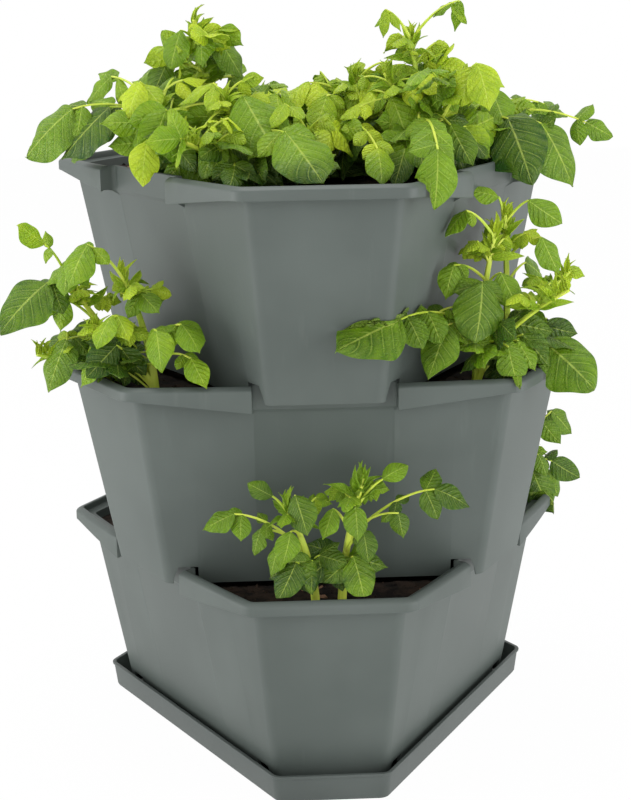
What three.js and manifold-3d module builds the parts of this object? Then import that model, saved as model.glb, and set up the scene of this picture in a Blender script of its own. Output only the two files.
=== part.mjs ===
// Stacking planter tower: three like tubs on a saucer, with potting soil and potato plants.
// Millimetres, +Z up. The origin is the middle of the saucer's underside, and the lowest tub's
// front corner faces -Y. Each tub is turned half a turn to the one below, so that the three
// corners of every tub stay open as planting pockets.

import * as THREE from "three";
import { mergeVertices } from "three/addons/utils/BufferGeometryUtils.js";
import Module from "manifold-3d";

const wasm = await Module();
wasm.setup();

// Tub: distances from its axis to the three long and the three short sides
const tubHeight = 190;
const footLongFace = 138;
const footShortFace = 191.5;
const rimLongFace = 168;
const rimShortFace = 225;
const sideBow = 7;
const wallCornerRadius = 12;
const wallThickness = 3;
const floorThickness = 3;

// Rim: a folded lip that runs round each corner and stops at the notches
const rimOverhang = 13.5;
const rimWidth = 7.8;
const rimCornerRadius = 16;
const rimSheet = 2.4;
const rimSlopeWidth = 4.5;
const rimFall = 3;
const skirtDepth = 11.5;
const skirtEndDepth = 23;
const shoulderDepth = 10;

// Notch in the middle of each long side, where the corner of the next tub hangs over
const notchWidth = 124;
const notchPanelStep = 3.5;
const notchCheekThickness = 2.8;
const notchPanelLap = 4;

// Foot: how far it hangs below the rim that it stands on, and the slots that straddle that rim
const footDepth = 15.2;
const slotFromCorner = 5;
const slotLength = 23;
const slotHeadroom = 1;
const slotLean = 5;
const drainHoleRadius = 4;
const drainRingRadius = 85;
const drainHoleCount = 3;
const cornerDrainRadius = 140;

// Saucer: how far its rim stands out past the foot of the lowest tub, and its own sizes
const saucerLongMargin = 13;
const saucerShortMargin = 24;
const saucerHeight = 26;
const saucerFlare = 3;
const saucerWall = 2.4;
const saucerFloor = 2.8;
const saucerCornerRadius = 11;
const saucerFootChamfer = 2.5;
const saucerLipWidth = 1.4;
const saucerLipHeight = 3;
const saucerRibHeight = 2.2;
const saucerRibWidth = 4;
const saucerRibStart = 60;
const saucerRibEnd = 200;

// Soil: how far it lies below the rim, under the next tub and heaped up in the pockets
const soilDrop = 28;
const soilHeapDrop = 13;
const soilGap = 1;

// Plants: plantReach is the unit of the tables of shares that place the shoots and their leaves
const plantReach = 100;
const leafletLength = 60;
const leafletThickness = 1.8;
const stemRadius = 2.8;
const stemTipRadius = 1.5;
const stalkRadius = 1.4;
const stalkTipRadius = 0.9;
const jointRadius = 0.5;
const leafClearance = 1.2;
const plantingDepth = 15;

// Fits, lifts and working values
const seatGap = 0.3;
const tierLift = 250;
const overrun = 5;
const mergeDistance = 0.02;
const cornerSteps = 2;
const stemSteps = 4;
const wallShares = [1 / 3, 2 / 3];
const tierTurn = Math.PI;
const third = (2 * Math.PI) / 3;
const sixth = Math.PI / 3;
const frontAzimuth = -Math.PI / 2;
const upward = new THREE.Vector3(0, 0, 1);
const lightFrom = new THREE.Vector3(-0.15, -0.65, 0.75);

// Places that follow from the sizes above
const floorLevel = footDepth + seatGap;
const floorTop = floorLevel + floorThickness;
const skirtEndLevel = tubHeight - skirtEndDepth;
const shoulderLevel = tubHeight - shoulderDepth;
const shoulderTop = shoulderLevel + wallThickness;
const soilLevel = tubHeight - soilDrop;
const heapLevel = tubHeight - soilHeapDrop;
const tierPitch = tubHeight - footDepth;
const saucerLongFace = footLongFace + saucerLongMargin;
const saucerShortFace = footShortFace + saucerShortMargin;
const saucerRibTop = saucerFloor + saucerRibHeight;
const lowestTubLevel = saucerRibTop + seatGap;
const notchHalf = notchWidth / 2;
const rimInset = rimOverhang - rimWidth;

// The three tubs, from the bottom up
const tierNames = ["lower", "middle", "top"];

// Forms of the leaves, as shares of a leaflet's or a stalk's length
const leafOutlineShares = [
  [0.26, 0.31],
  [0.68, 0.28],
];
const leafSagShare = 0.14;
const leafFoldShare = 0.3;
const stalkArchShare = 0.22;
const stemUprightShare = 0.5;
const pairSizeShare = 0.82;
const pairDroopShare = 0.7;
const pairSpread = 1.15;
const leafTwist = 0.35;
const leafTwistStep = 2.4;

// The shoots. Root: out and across in its pocket, as shares of rimShortFace. Stem: its top, and
// leaves: where each leaves the stem, its end leaflet's middle (right, back and up from the root),
// all as shares of plantReach, then its size, pairs of side leaflets, and droop of the end leaflet
// from 0, level, to 1, hanging.
const shoots = [
  {
    name: "front_left_shoot",
    tier: 0,
    azimuth: frontAzimuth,
    rootShares: [0.86, -0.05],
    stemShares: [-0.25, -0.1, 1.05],
    leafShares: [
      [0.55, -0.82, -0.2, 0.95, 0.5, 1, 0.2],
      [0.9, -0.12, -0.3, 1.02, 0.6, 0, 0.5],
      [0.7, -0.24, -0.33, 0.72, 0.5, 0, 0.7],
      [0.5, -0.36, -0.26, 0.6, 0.45, 0, 0.7],
      [0.3, -0.2, -0.34, 0.48, 0.65, 0, 0.85],
      [0.75, -0.46, 0, 1.15, 0.4, 0, -0.3],
      [0.6, -0.5, -0.12, 0.72, 0.4, 0, 0.8],
    ],
  },
  {
    name: "front_right_shoot",
    tier: 0,
    azimuth: frontAzimuth,
    rootShares: [0.86, 0.05],
    stemShares: [0.2, -0.08, 1.25],
    leafShares: [
      [0.55, 0.95, -0.15, 1.1, 0.55, 1, 0.2],
      [0.6, -0.12, -0.28, 0.92, 0.45, 0, 0.6],
      [0.65, 0.12, -0.34, 0.94, 0.5, 0, 0.6],
      [0.45, 0.2, -0.32, 0.72, 0.45, 0, 0.75],
      [0.3, 0.1, -0.34, 0.48, 0.7, 0, 0.85],
      [0.6, 0.5, -0.2, 0.85, 0.4, 0, 0.9],
      [0.75, 0.46, -0.05, 1.3, 0.4, 0, -0.4],
    ],
  },
  {
    name: "back_right_shoot",
    tier: 0,
    azimuth: frontAzimuth + third,
    rootShares: [0.88, -0.07],
    stemShares: [0.45, -0.1, 0.75],
    leafShares: [
      [0.95, 0.78, 0, 0.95, 0.6, 0, 0.5],
      [0.9, 0.62, -0.18, 0.88, 0.5, 0, 0.6],
      [0.8, 0.54, -0.28, 0.58, 0.4, 0, 0.6],
      [0.7, 0.8, -0.1, 0.46, 0.6, 0, 0.4],
      [0.5, 0.52, -0.3, 0.3, 0.8, 0, 0.7],
      [0.6, 0.72, 0.1, 0.26, 0.6, 0, 0.7],
      [0.6, 0.1, 0.45, 0.7, 0.7, 1, 0.3],
    ],
  },
  {
    name: "middle_left_front_shoot",
    tier: 1,
    azimuth: frontAzimuth - sixth,
    rootShares: [0.84, 0.15],
    stemShares: [-0.25, -0.05, 1.2],
    leafShares: [
      [0.9, -0.62, -0.28, 1.3, 0.7, 0, 0.6],
      [0.5, -0.4, -0.46, 0.78, 0.55, 1, 0.4],
      [0.4, 0.36, -0.56, 0.72, 0.6, 1, 0.3],
      [0.45, 0.08, -0.6, 0.62, 0.6, 0, 0.6],
      [0.75, -0.02, -0.25, 0.98, 0.5, 1, 0.2],
      [0.3, 0.4, -0.6, 0.42, 0.5, 0, 0.5],
      [0.3, -0.55, -0.3, 0.4, 0.5, 0, 0.5],
    ],
  },
  {
    name: "middle_left_outer_shoot",
    tier: 1,
    azimuth: frontAzimuth - sixth,
    rootShares: [0.86, -0.1],
    stemShares: [-0.4, -0.35, 1.05],
    leafShares: [
      [0.85, -0.8, -0.55, 0.95, 1, 0, 0.35],
      [0.4, -0.52, -0.6, 0.42, 0.8, 0, 0.6],
      [0.95, -0.66, -0.6, 1.55, 0.5, 0, -0.4],
      [0.9, -0.4, -0.62, 1.2, 0.6, 1, 0.5],
      [0.45, -0.14, -0.62, 0.52, 0.5, 0, 0.6],
      [0.6, -0.7, -0.1, 0.85, 0.6, 1, 0.3],
    ],
  },
  {
    name: "middle_right_front_shoot",
    tier: 1,
    azimuth: frontAzimuth + sixth,
    rootShares: [0.81, -0.19],
    stemShares: [0.17, 0, 1.5],
    leafShares: [
      [0.4, -0.78, -0.65, 0.7, 1, 0, 0.1],
      [0.35, -0.4, -0.58, 0.56, 0.8, 0, 0.6],
      [0.55, -0.02, -0.5, 0.88, 0.9, 0, 0.6],
      [0.5, -0.46, -0.4, 0.78, 0.5, 0, 0.3],
      [0.3, 0.24, -0.5, 0.38, 0.6, 0, 0.8],
      [0.65, 0.25, -0.25, 1, 0.6, 0, 0.6],
      [0.95, -0.22, -0.2, 1.6, 0.5, 0, 0.4],
      [0.7, -0.28, -0.28, 1.1, 0.5, 0, 0.7],
    ],
  },
  {
    name: "middle_right_outer_shoot",
    tier: 1,
    azimuth: frontAzimuth + sixth,
    rootShares: [0.86, 0.02],
    stemShares: [-0.06, -0.17, 1.6],
    leafShares: [
      [0.3, 0.35, -0.46, 0.36, 1, 0, 0.5],
      [0.3, 0.05, -0.5, 0.4, 0.6, 0, 0.6],
      [0.75, 0.32, -0.3, 1.25, 0.6, 0, 0.7],
      [0.95, 0.28, -0.24, 1.62, 0.6, 0, 0.4],
      [0.95, -0.24, -0.2, 1.8, 0.45, 0, -0.2],
      [0.3, 0.58, 0.2, 0.35, 0.7, 1, 0.4],
      [0.6, 0.3, 0.2, 1.05, 0.6, 0, 0.3],
    ],
  },
  {
    name: "top_left_shoot",
    tier: 2,
    azimuth: frontAzimuth - sixth,
    rootShares: [0.58, 0.04],
    stemShares: [-0.35, 0.1, 0.85],
    leafShares: [
      [0.8, -1.3, 0.2, 0.62, 1.05, 0, 0.4],
      [0.7, -0.95, 0, 0.62, 1.05, 0, 0.45],
      [0.95, -0.85, 0.42, 0.95, 0.7, 1, 0.4],
      [0.6, -1, 0.5, 0.5, 0.8, 0, 0.4],
      [0.9, -0.1, 0.6, 0.95, 0.7, 1, 0.3],
    ],
  },
  {
    name: "top_back_left_shoot",
    tier: 2,
    azimuth: frontAzimuth - third,
    rootShares: [0.44, 0.08],
    stemShares: [-0.1, -0.5, 1.55],
    leafShares: [
      [0.85, -0.28, -0.58, 1.3, 0.6, 0, 0.7],
      [0.9, 0, -0.5, 1.4, 0.5, 0, 0.6],
      [0.8, 0.22, -0.4, 1.22, 0.7, 0, 0.6],
      [0.7, -0.6, 0, 1.05, 0.7, 1, 0.3],
      [0.6, 0.45, 0.1, 0.9, 0.8, 1, 0.3],
      [0.5, -0.3, 0.6, 0.8, 0.8, 1, 0.4],
    ],
  },
  {
    name: "top_front_left_shoot",
    tier: 2,
    azimuth: frontAzimuth - sixth,
    rootShares: [0.46, 0.27],
    stemShares: [-0.2, -0.02, 0.9],
    leafShares: [
      [0.9, -0.68, 0, 0.68, 0.7, 0, 0.5],
      [0.95, -0.45, 0, 0.95, 0.6, 1, 0.3],
      [0.4, -0.92, 0, 0.45, 0.6, 0, 0.5],
      [0.6, -0.32, -0.4, 0.46, 0.7, 0, 0.6],
      [0.8, 0.08, -0.4, 0.72, 1.05, 0, 0.45],
      [0.5, 0.45, -0.8, 0.48, 1.05, 0, 0.35],
      [0.7, -0.12, -0.2, 0.62, 0.6, 0, 0.4],
    ],
  },
  {
    name: "top_middle_shoot",
    tier: 2,
    azimuth: frontAzimuth,
    rootShares: [0.16, 0.09],
    stemShares: [0.2, -0.2, 1.05],
    leafShares: [
      [0.95, 0.52, -0.3, 1.02, 0.6, 0, 0.6],
      [0.8, 0.52, -0.72, 0.72, 0.7, 0, 0.6],
      [0.5, 0.3, -1.38, 0.37, 0.6, 0, 0.5],
      [0.8, -0.42, -0.25, 0.9, 0.7, 1, 0.3],
      [0.7, -0.7, -0.1, 0.8, 0.6, 1, 0.3],
      [0.7, -0.15, -0.6, 0.75, 0.6, 0, 0.6],
      [0.7, 0, 0.7, 0.8, 0.9, 0, 0.4],
    ],
  },
  {
    name: "top_right_shoot",
    tier: 2,
    azimuth: frontAzimuth + sixth,
    rootShares: [0.53, -0.08],
    stemShares: [-0.07, 0.2, 1.4],
    leafShares: [
      [0.97, -0.03, 0, 1.55, 0.5, 0, 0.6],
      [0.95, -0.33, 0.2, 1.5, 0.4, 0, 0.3],
      [0.7, 0.4, 0.1, 0.9, 0.6, 1, 0.2],
      [0.5, -0.11, -0.8, 0.5, 0.7, 0, 0.4],
      [0.5, 0.27, -0.55, 0.5, 0.7, 0, 0.5],
      [0.4, -0.03, -1.35, 0.3, 1, 0, 0.9],
      [0.85, 0.2, 0.3, 1.1, 0.6, 0, 0.6],
      [0.6, -0.4, 0.85, 0.8, 0.8, 1, 0.4],
    ],
  },
  {
    name: "top_far_right_shoot",
    tier: 2,
    azimuth: frontAzimuth + sixth,
    rootShares: [0.58, 0.21],
    stemShares: [0.2, 0.05, 0.75],
    leafShares: [
      [0.9, 0.3, -0.3, 0.75, 0.7, 0, 0.5],
      [0.7, 0.46, -0.56, 0.4, 1.05, 0, 0.6],
      [0.75, 0.85, -0.35, 0.34, 1.05, 0, 0.6],
      [0.8, 1.3, 0.1, 0.5, 0.5, 1, 0.3],
      [0.9, 0.95, 0.4, 0.68, 0.5, 1, 0.2],
      [0.6, 0.1, -0.45, 0.55, 0.6, 0, 0.5],
      [0.8, 0.3, 0.75, 0.6, 0.8, 1, 0.4],
    ],
  },
];

// Colours from the photograph
const tubMaterial = new THREE.MeshStandardMaterial({ color: 0x5f6b69, roughness: 0.55, metalness: 0 });
const saucerMaterial = new THREE.MeshStandardMaterial({ color: 0x5f6b69, roughness: 0.5, metalness: 0 });
const soilMaterial = new THREE.MeshStandardMaterial({ color: 0x2a1f19, roughness: 0.95, metalness: 0 });
const leafMaterial = new THREE.MeshStandardMaterial({ color: 0x6f9a2e, roughness: 0.6, metalness: 0 });

// Turns an indexed triangle list into a closed solid
function solidFromTriangles(points, triangles) {
  const vertProperties = new Float32Array(points.flatMap((point) => [point.x, point.y, point.z]));
  const triVerts = new Uint32Array(triangles.flat());
  return new wasm.Manifold(new wasm.Mesh({ numProp: 3, vertProperties, triVerts }));
}

// Turns a three.js geometry, already in place, into a closed solid
function solidFromGeometry(geometry) {
  const bare = geometry.clone();
  bare.deleteAttribute("normal");
  bare.deleteAttribute("uv");
  const merged = mergeVertices(bare);
  return new wasm.Manifold(
    new wasm.Mesh({
      numProp: 3,
      vertProperties: new Float32Array(merged.attributes.position.array),
      triVerts: new Uint32Array(merged.index.array),
    }),
  );
}

// Makes the named mesh of a finished solid
function meshFromSolid(name, solid, material) {
  const { vertProperties, triVerts, numProp } = solid.simplify(mergeDistance).getMesh();
  const geometry = new THREE.BufferGeometry();
  const positions = new Float32Array((vertProperties.length / numProp) * 3);
  for (let vertex = 0; vertex < vertProperties.length / numProp; vertex++) {
    positions.set(vertProperties.slice(vertex * numProp, vertex * numProp + 3), vertex * 3);
  }
  geometry.setAttribute("position", new THREE.BufferAttribute(positions, 3));
  geometry.setIndex(new THREE.BufferAttribute(new Uint32Array(triVerts), 1));
  geometry.computeVertexNormals();
  const mesh = new THREE.Mesh(geometry, material);
  mesh.name = name;
  return mesh;
}

// Side faces between neighbouring rings of equal count
function skinBetween(triangles, lower, upper, count) {
  for (let step = 0; step < count; step++) {
    const next = (step + 1) % count;
    triangles.push([lower * count + step, lower * count + next, upper * count + next]);
    triangles.push([lower * count + step, upper * count + next, upper * count + step]);
  }
}

// A solid through a stack of rings, closed by fans to the first ring's middle and to its end point
function loft(rings, endPoint = middleOf(rings[rings.length - 1])) {
  const count = rings[0].length;
  const points = rings.flat();
  const triangles = [];
  for (let ring = 0; ring + 1 < rings.length; ring++) {
    skinBetween(triangles, ring, ring + 1, count);
  }
  const last = points.length - count;
  const bottomMiddle = points.push(middleOf(rings[0])) - 1;
  const topMiddle = points.push(endPoint) - 1;
  for (let step = 0; step < count; step++) {
    const next = (step + 1) % count;
    triangles.push([bottomMiddle, next, step]);
    triangles.push([topMiddle, last + step, last + next]);
  }
  return solidFromTriangles(points, triangles);
}

// A closed moulded profile carried once round the outline: the last ring meets the first
function sweepRound(rings) {
  const count = rings[0].length;
  const triangles = [];
  for (let ring = 0; ring < rings.length; ring++) {
    skinBetween(triangles, ring, (ring + 1) % rings.length, count);
  }
  return solidFromTriangles(rings.flat(), triangles);
}

// A ring of four points round a path: to its right, over it, to its left and under it
function flatRing(middle, across, over, halfWidth, halfThickness, fold) {
  const margin = middle.clone().addScaledVector(over, -fold);
  return [
    margin.clone().addScaledVector(across, halfWidth),
    middle.clone().addScaledVector(over, halfThickness),
    margin.clone().addScaledVector(across, -halfWidth),
    middle.clone().addScaledVector(over, -halfThickness),
  ];
}

// The rings of a tapering four-sided stem along a curve
function stemRings(curve, across, startRadius, endRadius, steps) {
  const rings = [];
  for (let step = 0; step <= steps; step++) {
    const share = step / steps;
    const tangent = curve.getTangent(share);
    const aside = across.clone().addScaledVector(tangent, -across.dot(tangent)).normalize();
    const over = tangent.clone().cross(aside);
    const radius = startRadius + (endRadius - startRadius) * share;
    rings.push(flatRing(curve.getPoint(share), aside, over, radius, radius, 0));
  }
  return rings;
}

function middleOf(ring) {
  const middle = new THREE.Vector3();
  ring.forEach((point) => middle.add(point));
  return middle.divideScalar(ring.length);
}

// One level of the three-cornered outline, anticlockwise from the front short side. Each point
// carries slant: 0 round the corners, and 1 along the notch.
function outline(faces) {
  const { longFace, shortFace, radius, bow } = faces;
  const shortHalf = (2 * longFace - shortFace) * Math.tan(sixth / 2);
  const longHalf = (2 * shortFace - longFace) * Math.tan(sixth / 2);
  const cornerRun = radius * Math.tan(sixth / 2);
  const points = [];
  for (let turn = 0; turn < 3; turn++) {
    const shortAzimuth = frontAzimuth + turn * third;
    for (const side of [-1, 1]) {
      const centre = polar(shortAzimuth, shortFace - radius, side * (shortHalf - cornerRun));
      const start = side < 0 ? shortAzimuth - sixth : shortAzimuth;
      for (let step = 0; step <= cornerSteps; step++) {
        const spoke = polar(start + (sixth * step) / cornerSteps, radius, 0);
        points.push({ x: centre.x + spoke.x, y: centre.y + spoke.y, slant: 0 });
      }
    }
    for (const along of [-notchHalf, 0, notchHalf]) {
      const out = longFace + bow * (1 - (along / longHalf) ** 2);
      const place = polar(shortAzimuth + sixth, out, along);
      points.push({ x: place.x, y: place.y, slant: 1 });
    }
  }
  return points;
}

// A point at a distance out along an azimuth, and sideways from it
function polar(azimuth, out, across) {
  const x = out * Math.cos(azimuth) - across * Math.sin(azimuth);
  const y = out * Math.sin(azimuth) + across * Math.cos(azimuth);
  return { x, y };
}

// A ring of the outline at one level; drop lowers the points towards the notch
function ringAt(faces, level, drop = 0) {
  return outline(faces).map((point) => new THREE.Vector3(point.x, point.y, level - point.slant * drop));
}

// The tapering tub wall at a level, set out or in by an offset: its sides bow out towards the rim
function wallFaces(level, offset) {
  const share = level / tubHeight;
  return {
    longFace: footLongFace + (rimLongFace - footLongFace) * share + offset,
    shortFace: footShortFace + (rimShortFace - footShortFace) * share + offset,
    radius: wallCornerRadius + Math.min(0, offset),
    bow: sideBow * share,
  };
}

// The wall's rings from one level to another, by way of the shared levels between them
function wallRings(from, to, offset) {
  const low = Math.min(from, to);
  const high = Math.max(from, to);
  const between = wallShares.map((share) => share * tubHeight).filter((level) => level > low && level < high);
  if (to < from) {
    between.reverse();
  }
  return [from, ...between, to].map((level) => ringAt(wallFaces(level, offset), level));
}

// The upright rim, set out by an offset from the wall's top edge
function rimFaces(offset) {
  return {
    longFace: rimLongFace + offset,
    shortFace: rimShortFace + offset,
    radius: rimCornerRadius - rimOverhang + offset,
    bow: sideBow,
  };
}

// Places a block against each of the long sides: out from the axis, across it and up
function onLongSides(makeBlock) {
  const blocks = [];
  for (let turn = 0; turn < 3; turn++) {
    const azimuth = frontAzimuth + sixth + turn * third;
    for (const geometry of makeBlock()) {
      geometry.rotateZ(azimuth);
      blocks.push(solidFromGeometry(geometry));
    }
  }
  return joined(blocks);
}

function joined(solids) {
  return solids.reduce((whole, solid) => whole.add(solid));
}

// A box from its limits out from the axis, across and up
function blockBetween(outLimits, acrossLimits, upLimits) {
  const limits = [outLimits, acrossLimits, upLimits];
  const size = limits.map(([low, high]) => high - low);
  const middle = limits.map(([low, high]) => (low + high) / 2);
  return new THREE.BoxGeometry(...size).translate(...middle);
}

// Floor, wall and folded rim in one moulded skin: from under the floor down to the foot, up the
// outside, over the rim and down the inside to the floor
function tubShell() {
  const lipUnderside = tubHeight - rimFall - rimSheet;
  const skirtLevel = tubHeight - skirtDepth;
  const skirtDrop = skirtEndDepth - skirtDepth;
  const rimOuterSheet = rimOverhang - rimSheet;
  const rimInnerSheet = rimInset + rimSheet;
  return loft([
    ringAt(wallFaces(floorLevel, -wallThickness), floorLevel),
    ringAt(wallFaces(0, -wallThickness), 0),
    ...wallRings(0, shoulderLevel, 0),
    ringAt(rimFaces(rimInnerSheet), shoulderLevel),
    ringAt(rimFaces(rimInnerSheet), lipUnderside),
    ringAt(rimFaces(rimOuterSheet), lipUnderside),
    ringAt(rimFaces(rimOuterSheet), skirtLevel, skirtDrop),
    ringAt(rimFaces(rimOverhang), skirtLevel, skirtDrop),
    ringAt(rimFaces(rimOverhang), tubHeight - rimFall),
    ringAt(rimFaces(rimOverhang - rimSlopeWidth), tubHeight),
    ringAt(rimFaces(rimInset), tubHeight),
    ringAt(rimFaces(rimInset), shoulderTop),
    ...wallRings(shoulderTop, floorTop, -wallThickness),
  ]);
}

// Upright panel faces of the notch, which step out from the wall
function panelFaces(offset) {
  const faces = wallFaces(skirtEndLevel, offset + notchPanelStep);
  return { ...faces, radius: wallCornerRadius };
}

// The plain upright panels that close the notches, each on a ledge that slopes out from the wall
function notchPanels() {
  const panelFoot = skirtEndLevel - notchPanelLap;
  const band = sweepRound([
    ringAt(wallFaces(panelFoot, 0), panelFoot),
    ringAt(panelFaces(0), skirtEndLevel),
    ringAt(panelFaces(0), tubHeight),
    ringAt(panelFaces(-wallThickness), tubHeight),
    ringAt(panelFaces(-wallThickness), skirtEndLevel + wallThickness),
    ringAt(wallFaces(panelFoot, -wallThickness), panelFoot),
  ]);
  const panelEnd = notchHalf + notchCheekThickness / 2;
  const outLimits = [footLongFace, rimLongFace + rimOverhang + sideBow];
  const windows = onLongSides(() => [
    blockBetween(outLimits, [-panelEnd, panelEnd], [panelFoot - overrun, tubHeight + overrun]),
  ]);
  return band.intersect(windows);
}

// The cheeks that close the rim on both sides of each notch
function notchCheeks() {
  const fullRim = sweepRound([
    ringAt(panelFaces(-wallThickness), skirtEndLevel),
    ringAt(rimFaces(rimOverhang), skirtEndLevel),
    ringAt(rimFaces(rimOverhang), tubHeight - rimFall),
    ringAt(rimFaces(rimOverhang - rimSlopeWidth), tubHeight),
    ringAt(panelFaces(-wallThickness), tubHeight),
  ]);
  const outLimits = [footLongFace, rimLongFace + rimOverhang + sideBow + overrun];
  const upLimits = [skirtEndLevel - overrun, tubHeight + overrun];
  const slabs = onLongSides(() =>
    [-1, 1].map((side) => {
      const edges = [side * notchHalf, side * (notchHalf + notchCheekThickness)];
      return blockBetween(outLimits, edges.sort((a, b) => a - b), upLimits);
    }),
  );
  return fullRim.intersect(slabs);
}

// What is cut out of the shell to open the notches
function notchWindows() {
  const outLimits = [footLongFace, rimLongFace + rimOverhang + sideBow + overrun];
  return onLongSides(() => [
    blockBetween(outLimits, [-notchHalf, notchHalf], [skirtEndLevel, tubHeight + overrun]),
  ]);
}

// Slots in the foot on both sides of each corner, with their top corners cut off
function footSlots() {
  const cornerAcross = (2 * footShortFace - footLongFace) * Math.tan(sixth / 2);
  const near = cornerAcross - slotFromCorner;
  const far = near - slotLength;
  const top = footDepth + slotHeadroom;
  const cutDepth = wallThickness + sideBow + overrun;
  return onLongSides(() =>
    [-1, 1].map((side) => {
      const shape = new THREE.Shape([
        new THREE.Vector2(side * far, -overrun),
        new THREE.Vector2(side * near, -overrun),
        new THREE.Vector2(side * (near - slotLean), top),
        new THREE.Vector2(side * far, top),
      ]);
      const slot = new THREE.ExtrudeGeometry(shape, { depth: 2 * cutDepth, bevelEnabled: false });
      slot.rotateX(Math.PI / 2);
      slot.rotateZ(Math.PI / 2);
      return slot.translate(footLongFace - cutDepth, 0, 0);
    }),
  );
}

// The holes that drain a tub: a ring of them round its axis and one in each corner
function drainHoles() {
  const holes = [];
  for (let hole = 0; hole < drainHoleCount; hole++) {
    const azimuth = frontAzimuth + sixth + (hole * 2 * Math.PI) / drainHoleCount;
    holes.push(drainHole(drainRingRadius, azimuth));
  }
  for (let turn = 0; turn < 3; turn++) {
    holes.push(drainHole(cornerDrainRadius, frontAzimuth + turn * third));
  }
  return joined(holes);
}

function drainHole(distance, azimuth) {
  const hole = new THREE.CylinderGeometry(drainHoleRadius, drainHoleRadius, floorThickness + 2 * overrun, 8);
  const place = polar(azimuth, distance, 0);
  hole.rotateX(Math.PI / 2);
  hole.translate(place.x, place.y, (floorLevel + floorTop) / 2);
  return solidFromGeometry(hole);
}

function tubSolid() {
  return tubShell()
    .subtract(notchWindows())
    .add(notchPanels())
    .add(notchCheeks())
    .subtract(drainHoles())
    .subtract(footSlots());
}

// Saucer faces, set out by an offset from its inner foot line
function saucerFaces(level, offset) {
  const flare = (saucerFlare * level) / saucerHeight - saucerFlare;
  return {
    longFace: saucerLongFace + flare + offset,
    shortFace: saucerShortFace + flare + offset,
    radius: saucerCornerRadius + offset,
    bow: 0,
  };
}

// Saucer: its floor, wall and stepped lip in one moulded skin, with the ribs inside
function saucerSolid() {
  const lipFoot = saucerHeight - saucerLipHeight;
  const dish = loft([
    ringAt(saucerFaces(0, -saucerFootChamfer), 0),
    ringAt(saucerFaces(saucerFootChamfer, 0), saucerFootChamfer),
    ringAt(saucerFaces(lipFoot, 0), lipFoot),
    ringAt(saucerFaces(lipFoot, saucerLipWidth), lipFoot + saucerLipWidth),
    ringAt(saucerFaces(saucerHeight, saucerLipWidth), saucerHeight),
    ringAt(saucerFaces(saucerHeight, -saucerWall), saucerHeight),
    ringAt(saucerFaces(saucerFloor, -saucerFootChamfer), saucerFloor),
  ]);
  return dish.add(saucerRibs());
}

// Low ribs under the lowest tub's foot, which keep it out of the water
function saucerRibs() {
  const ribs = [];
  for (let rib = 0; rib < 6; rib++) {
    const reach = rib % 2 === 0 ? saucerRibEnd : saucerRibEnd * (footLongFace / footShortFace);
    const halfWidth = saucerRibWidth / 2;
    const block = blockBetween(
      [saucerRibStart, reach],
      [-halfWidth, halfWidth],
      [saucerFloor / 2, saucerRibTop],
    );
    block.rotateZ(frontAzimuth + rib * sixth);
    ribs.push(solidFromGeometry(block));
  }
  return joined(ribs);
}

// Soil: fills a tub from its floor to below the next tub's foot, and is heaped up where no tub
// stands over it
function soilSolid(tier) {
  const clear = -wallThickness - soilGap;
  const soilFoot = floorTop + seatGap;
  const bed = loft(wallRings(soilFoot, soilLevel, clear));
  const heap = loft(wallRings(soilLevel - overrun, heapLevel, clear));
  const isTop = tier + 1 === tierNames.length;
  return bed.add(isTop ? heap : heap.subtract(footSpace()));
}

// The space that the foot of the tub above takes up inside this tub
function footSpace() {
  const foot = tierPitch - soilGap;
  const space = loft([
    ringAt(wallFaces(0, soilGap), soilLevel),
    ringAt(wallFaces(0, soilGap), foot),
    ringAt(wallFaces(footDepth, soilGap), foot + footDepth),
  ]);
  return space.rotate([0, 0, (tierTurn * 180) / Math.PI]);
}

// A stalk's curve, which arches over from its start to its end
function archedCurve(start, rise, end) {
  const bend = start.clone().lerp(end, 0.5).add(new THREE.Vector3(0, 0, rise));
  return new THREE.QuadraticBezierCurve3(start, bend, end);
}

// The direction of a leaflet that heads one way and droops: 0 is level and 1 hangs straight down
function drooping(heading, droop) {
  const pitch = (droop * Math.PI) / 2;
  const level = new THREE.Vector3(Math.cos(heading), Math.sin(heading), 0);
  return level.multiplyScalar(Math.cos(pitch)).add(new THREE.Vector3(0, 0, -Math.sin(pitch)));
}

function acrossHeading(heading) {
  return new THREE.Vector3(-Math.sin(heading), Math.cos(heading), 0);
}

// A leaflet's blade after the rings of its stalk: oval, its face turned to the light, with its
// margins folded down and its tip sinking. Grown by the clearance, it is the space that its
// neighbours keep out of.
function leafletSolid(stalk, base, heading, length, droop, twist, extra) {
  const along = drooping(heading, droop);
  const over = lightFrom.clone().projectOnPlane(along).normalize().applyAxisAngle(along, twist);
  const across = over.clone().cross(along);
  const placeAt = (share) => {
    const reach = share * (length + extra);
    const sag = (leafSagShare * reach ** 2) / length;
    return base.clone().addScaledVector(along, reach).addScaledVector(over, -sag);
  };
  const halfThickness = leafletThickness / 2 + extra;
  const blade = leafOutlineShares.map(([share, widthShare]) => {
    const halfWidth = widthShare * length + extra;
    return flatRing(placeAt(share), across, over, halfWidth, halfThickness, leafFoldShare * halfWidth);
  });
  return loft([...stalk, ...blade], placeAt(1));
}

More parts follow.
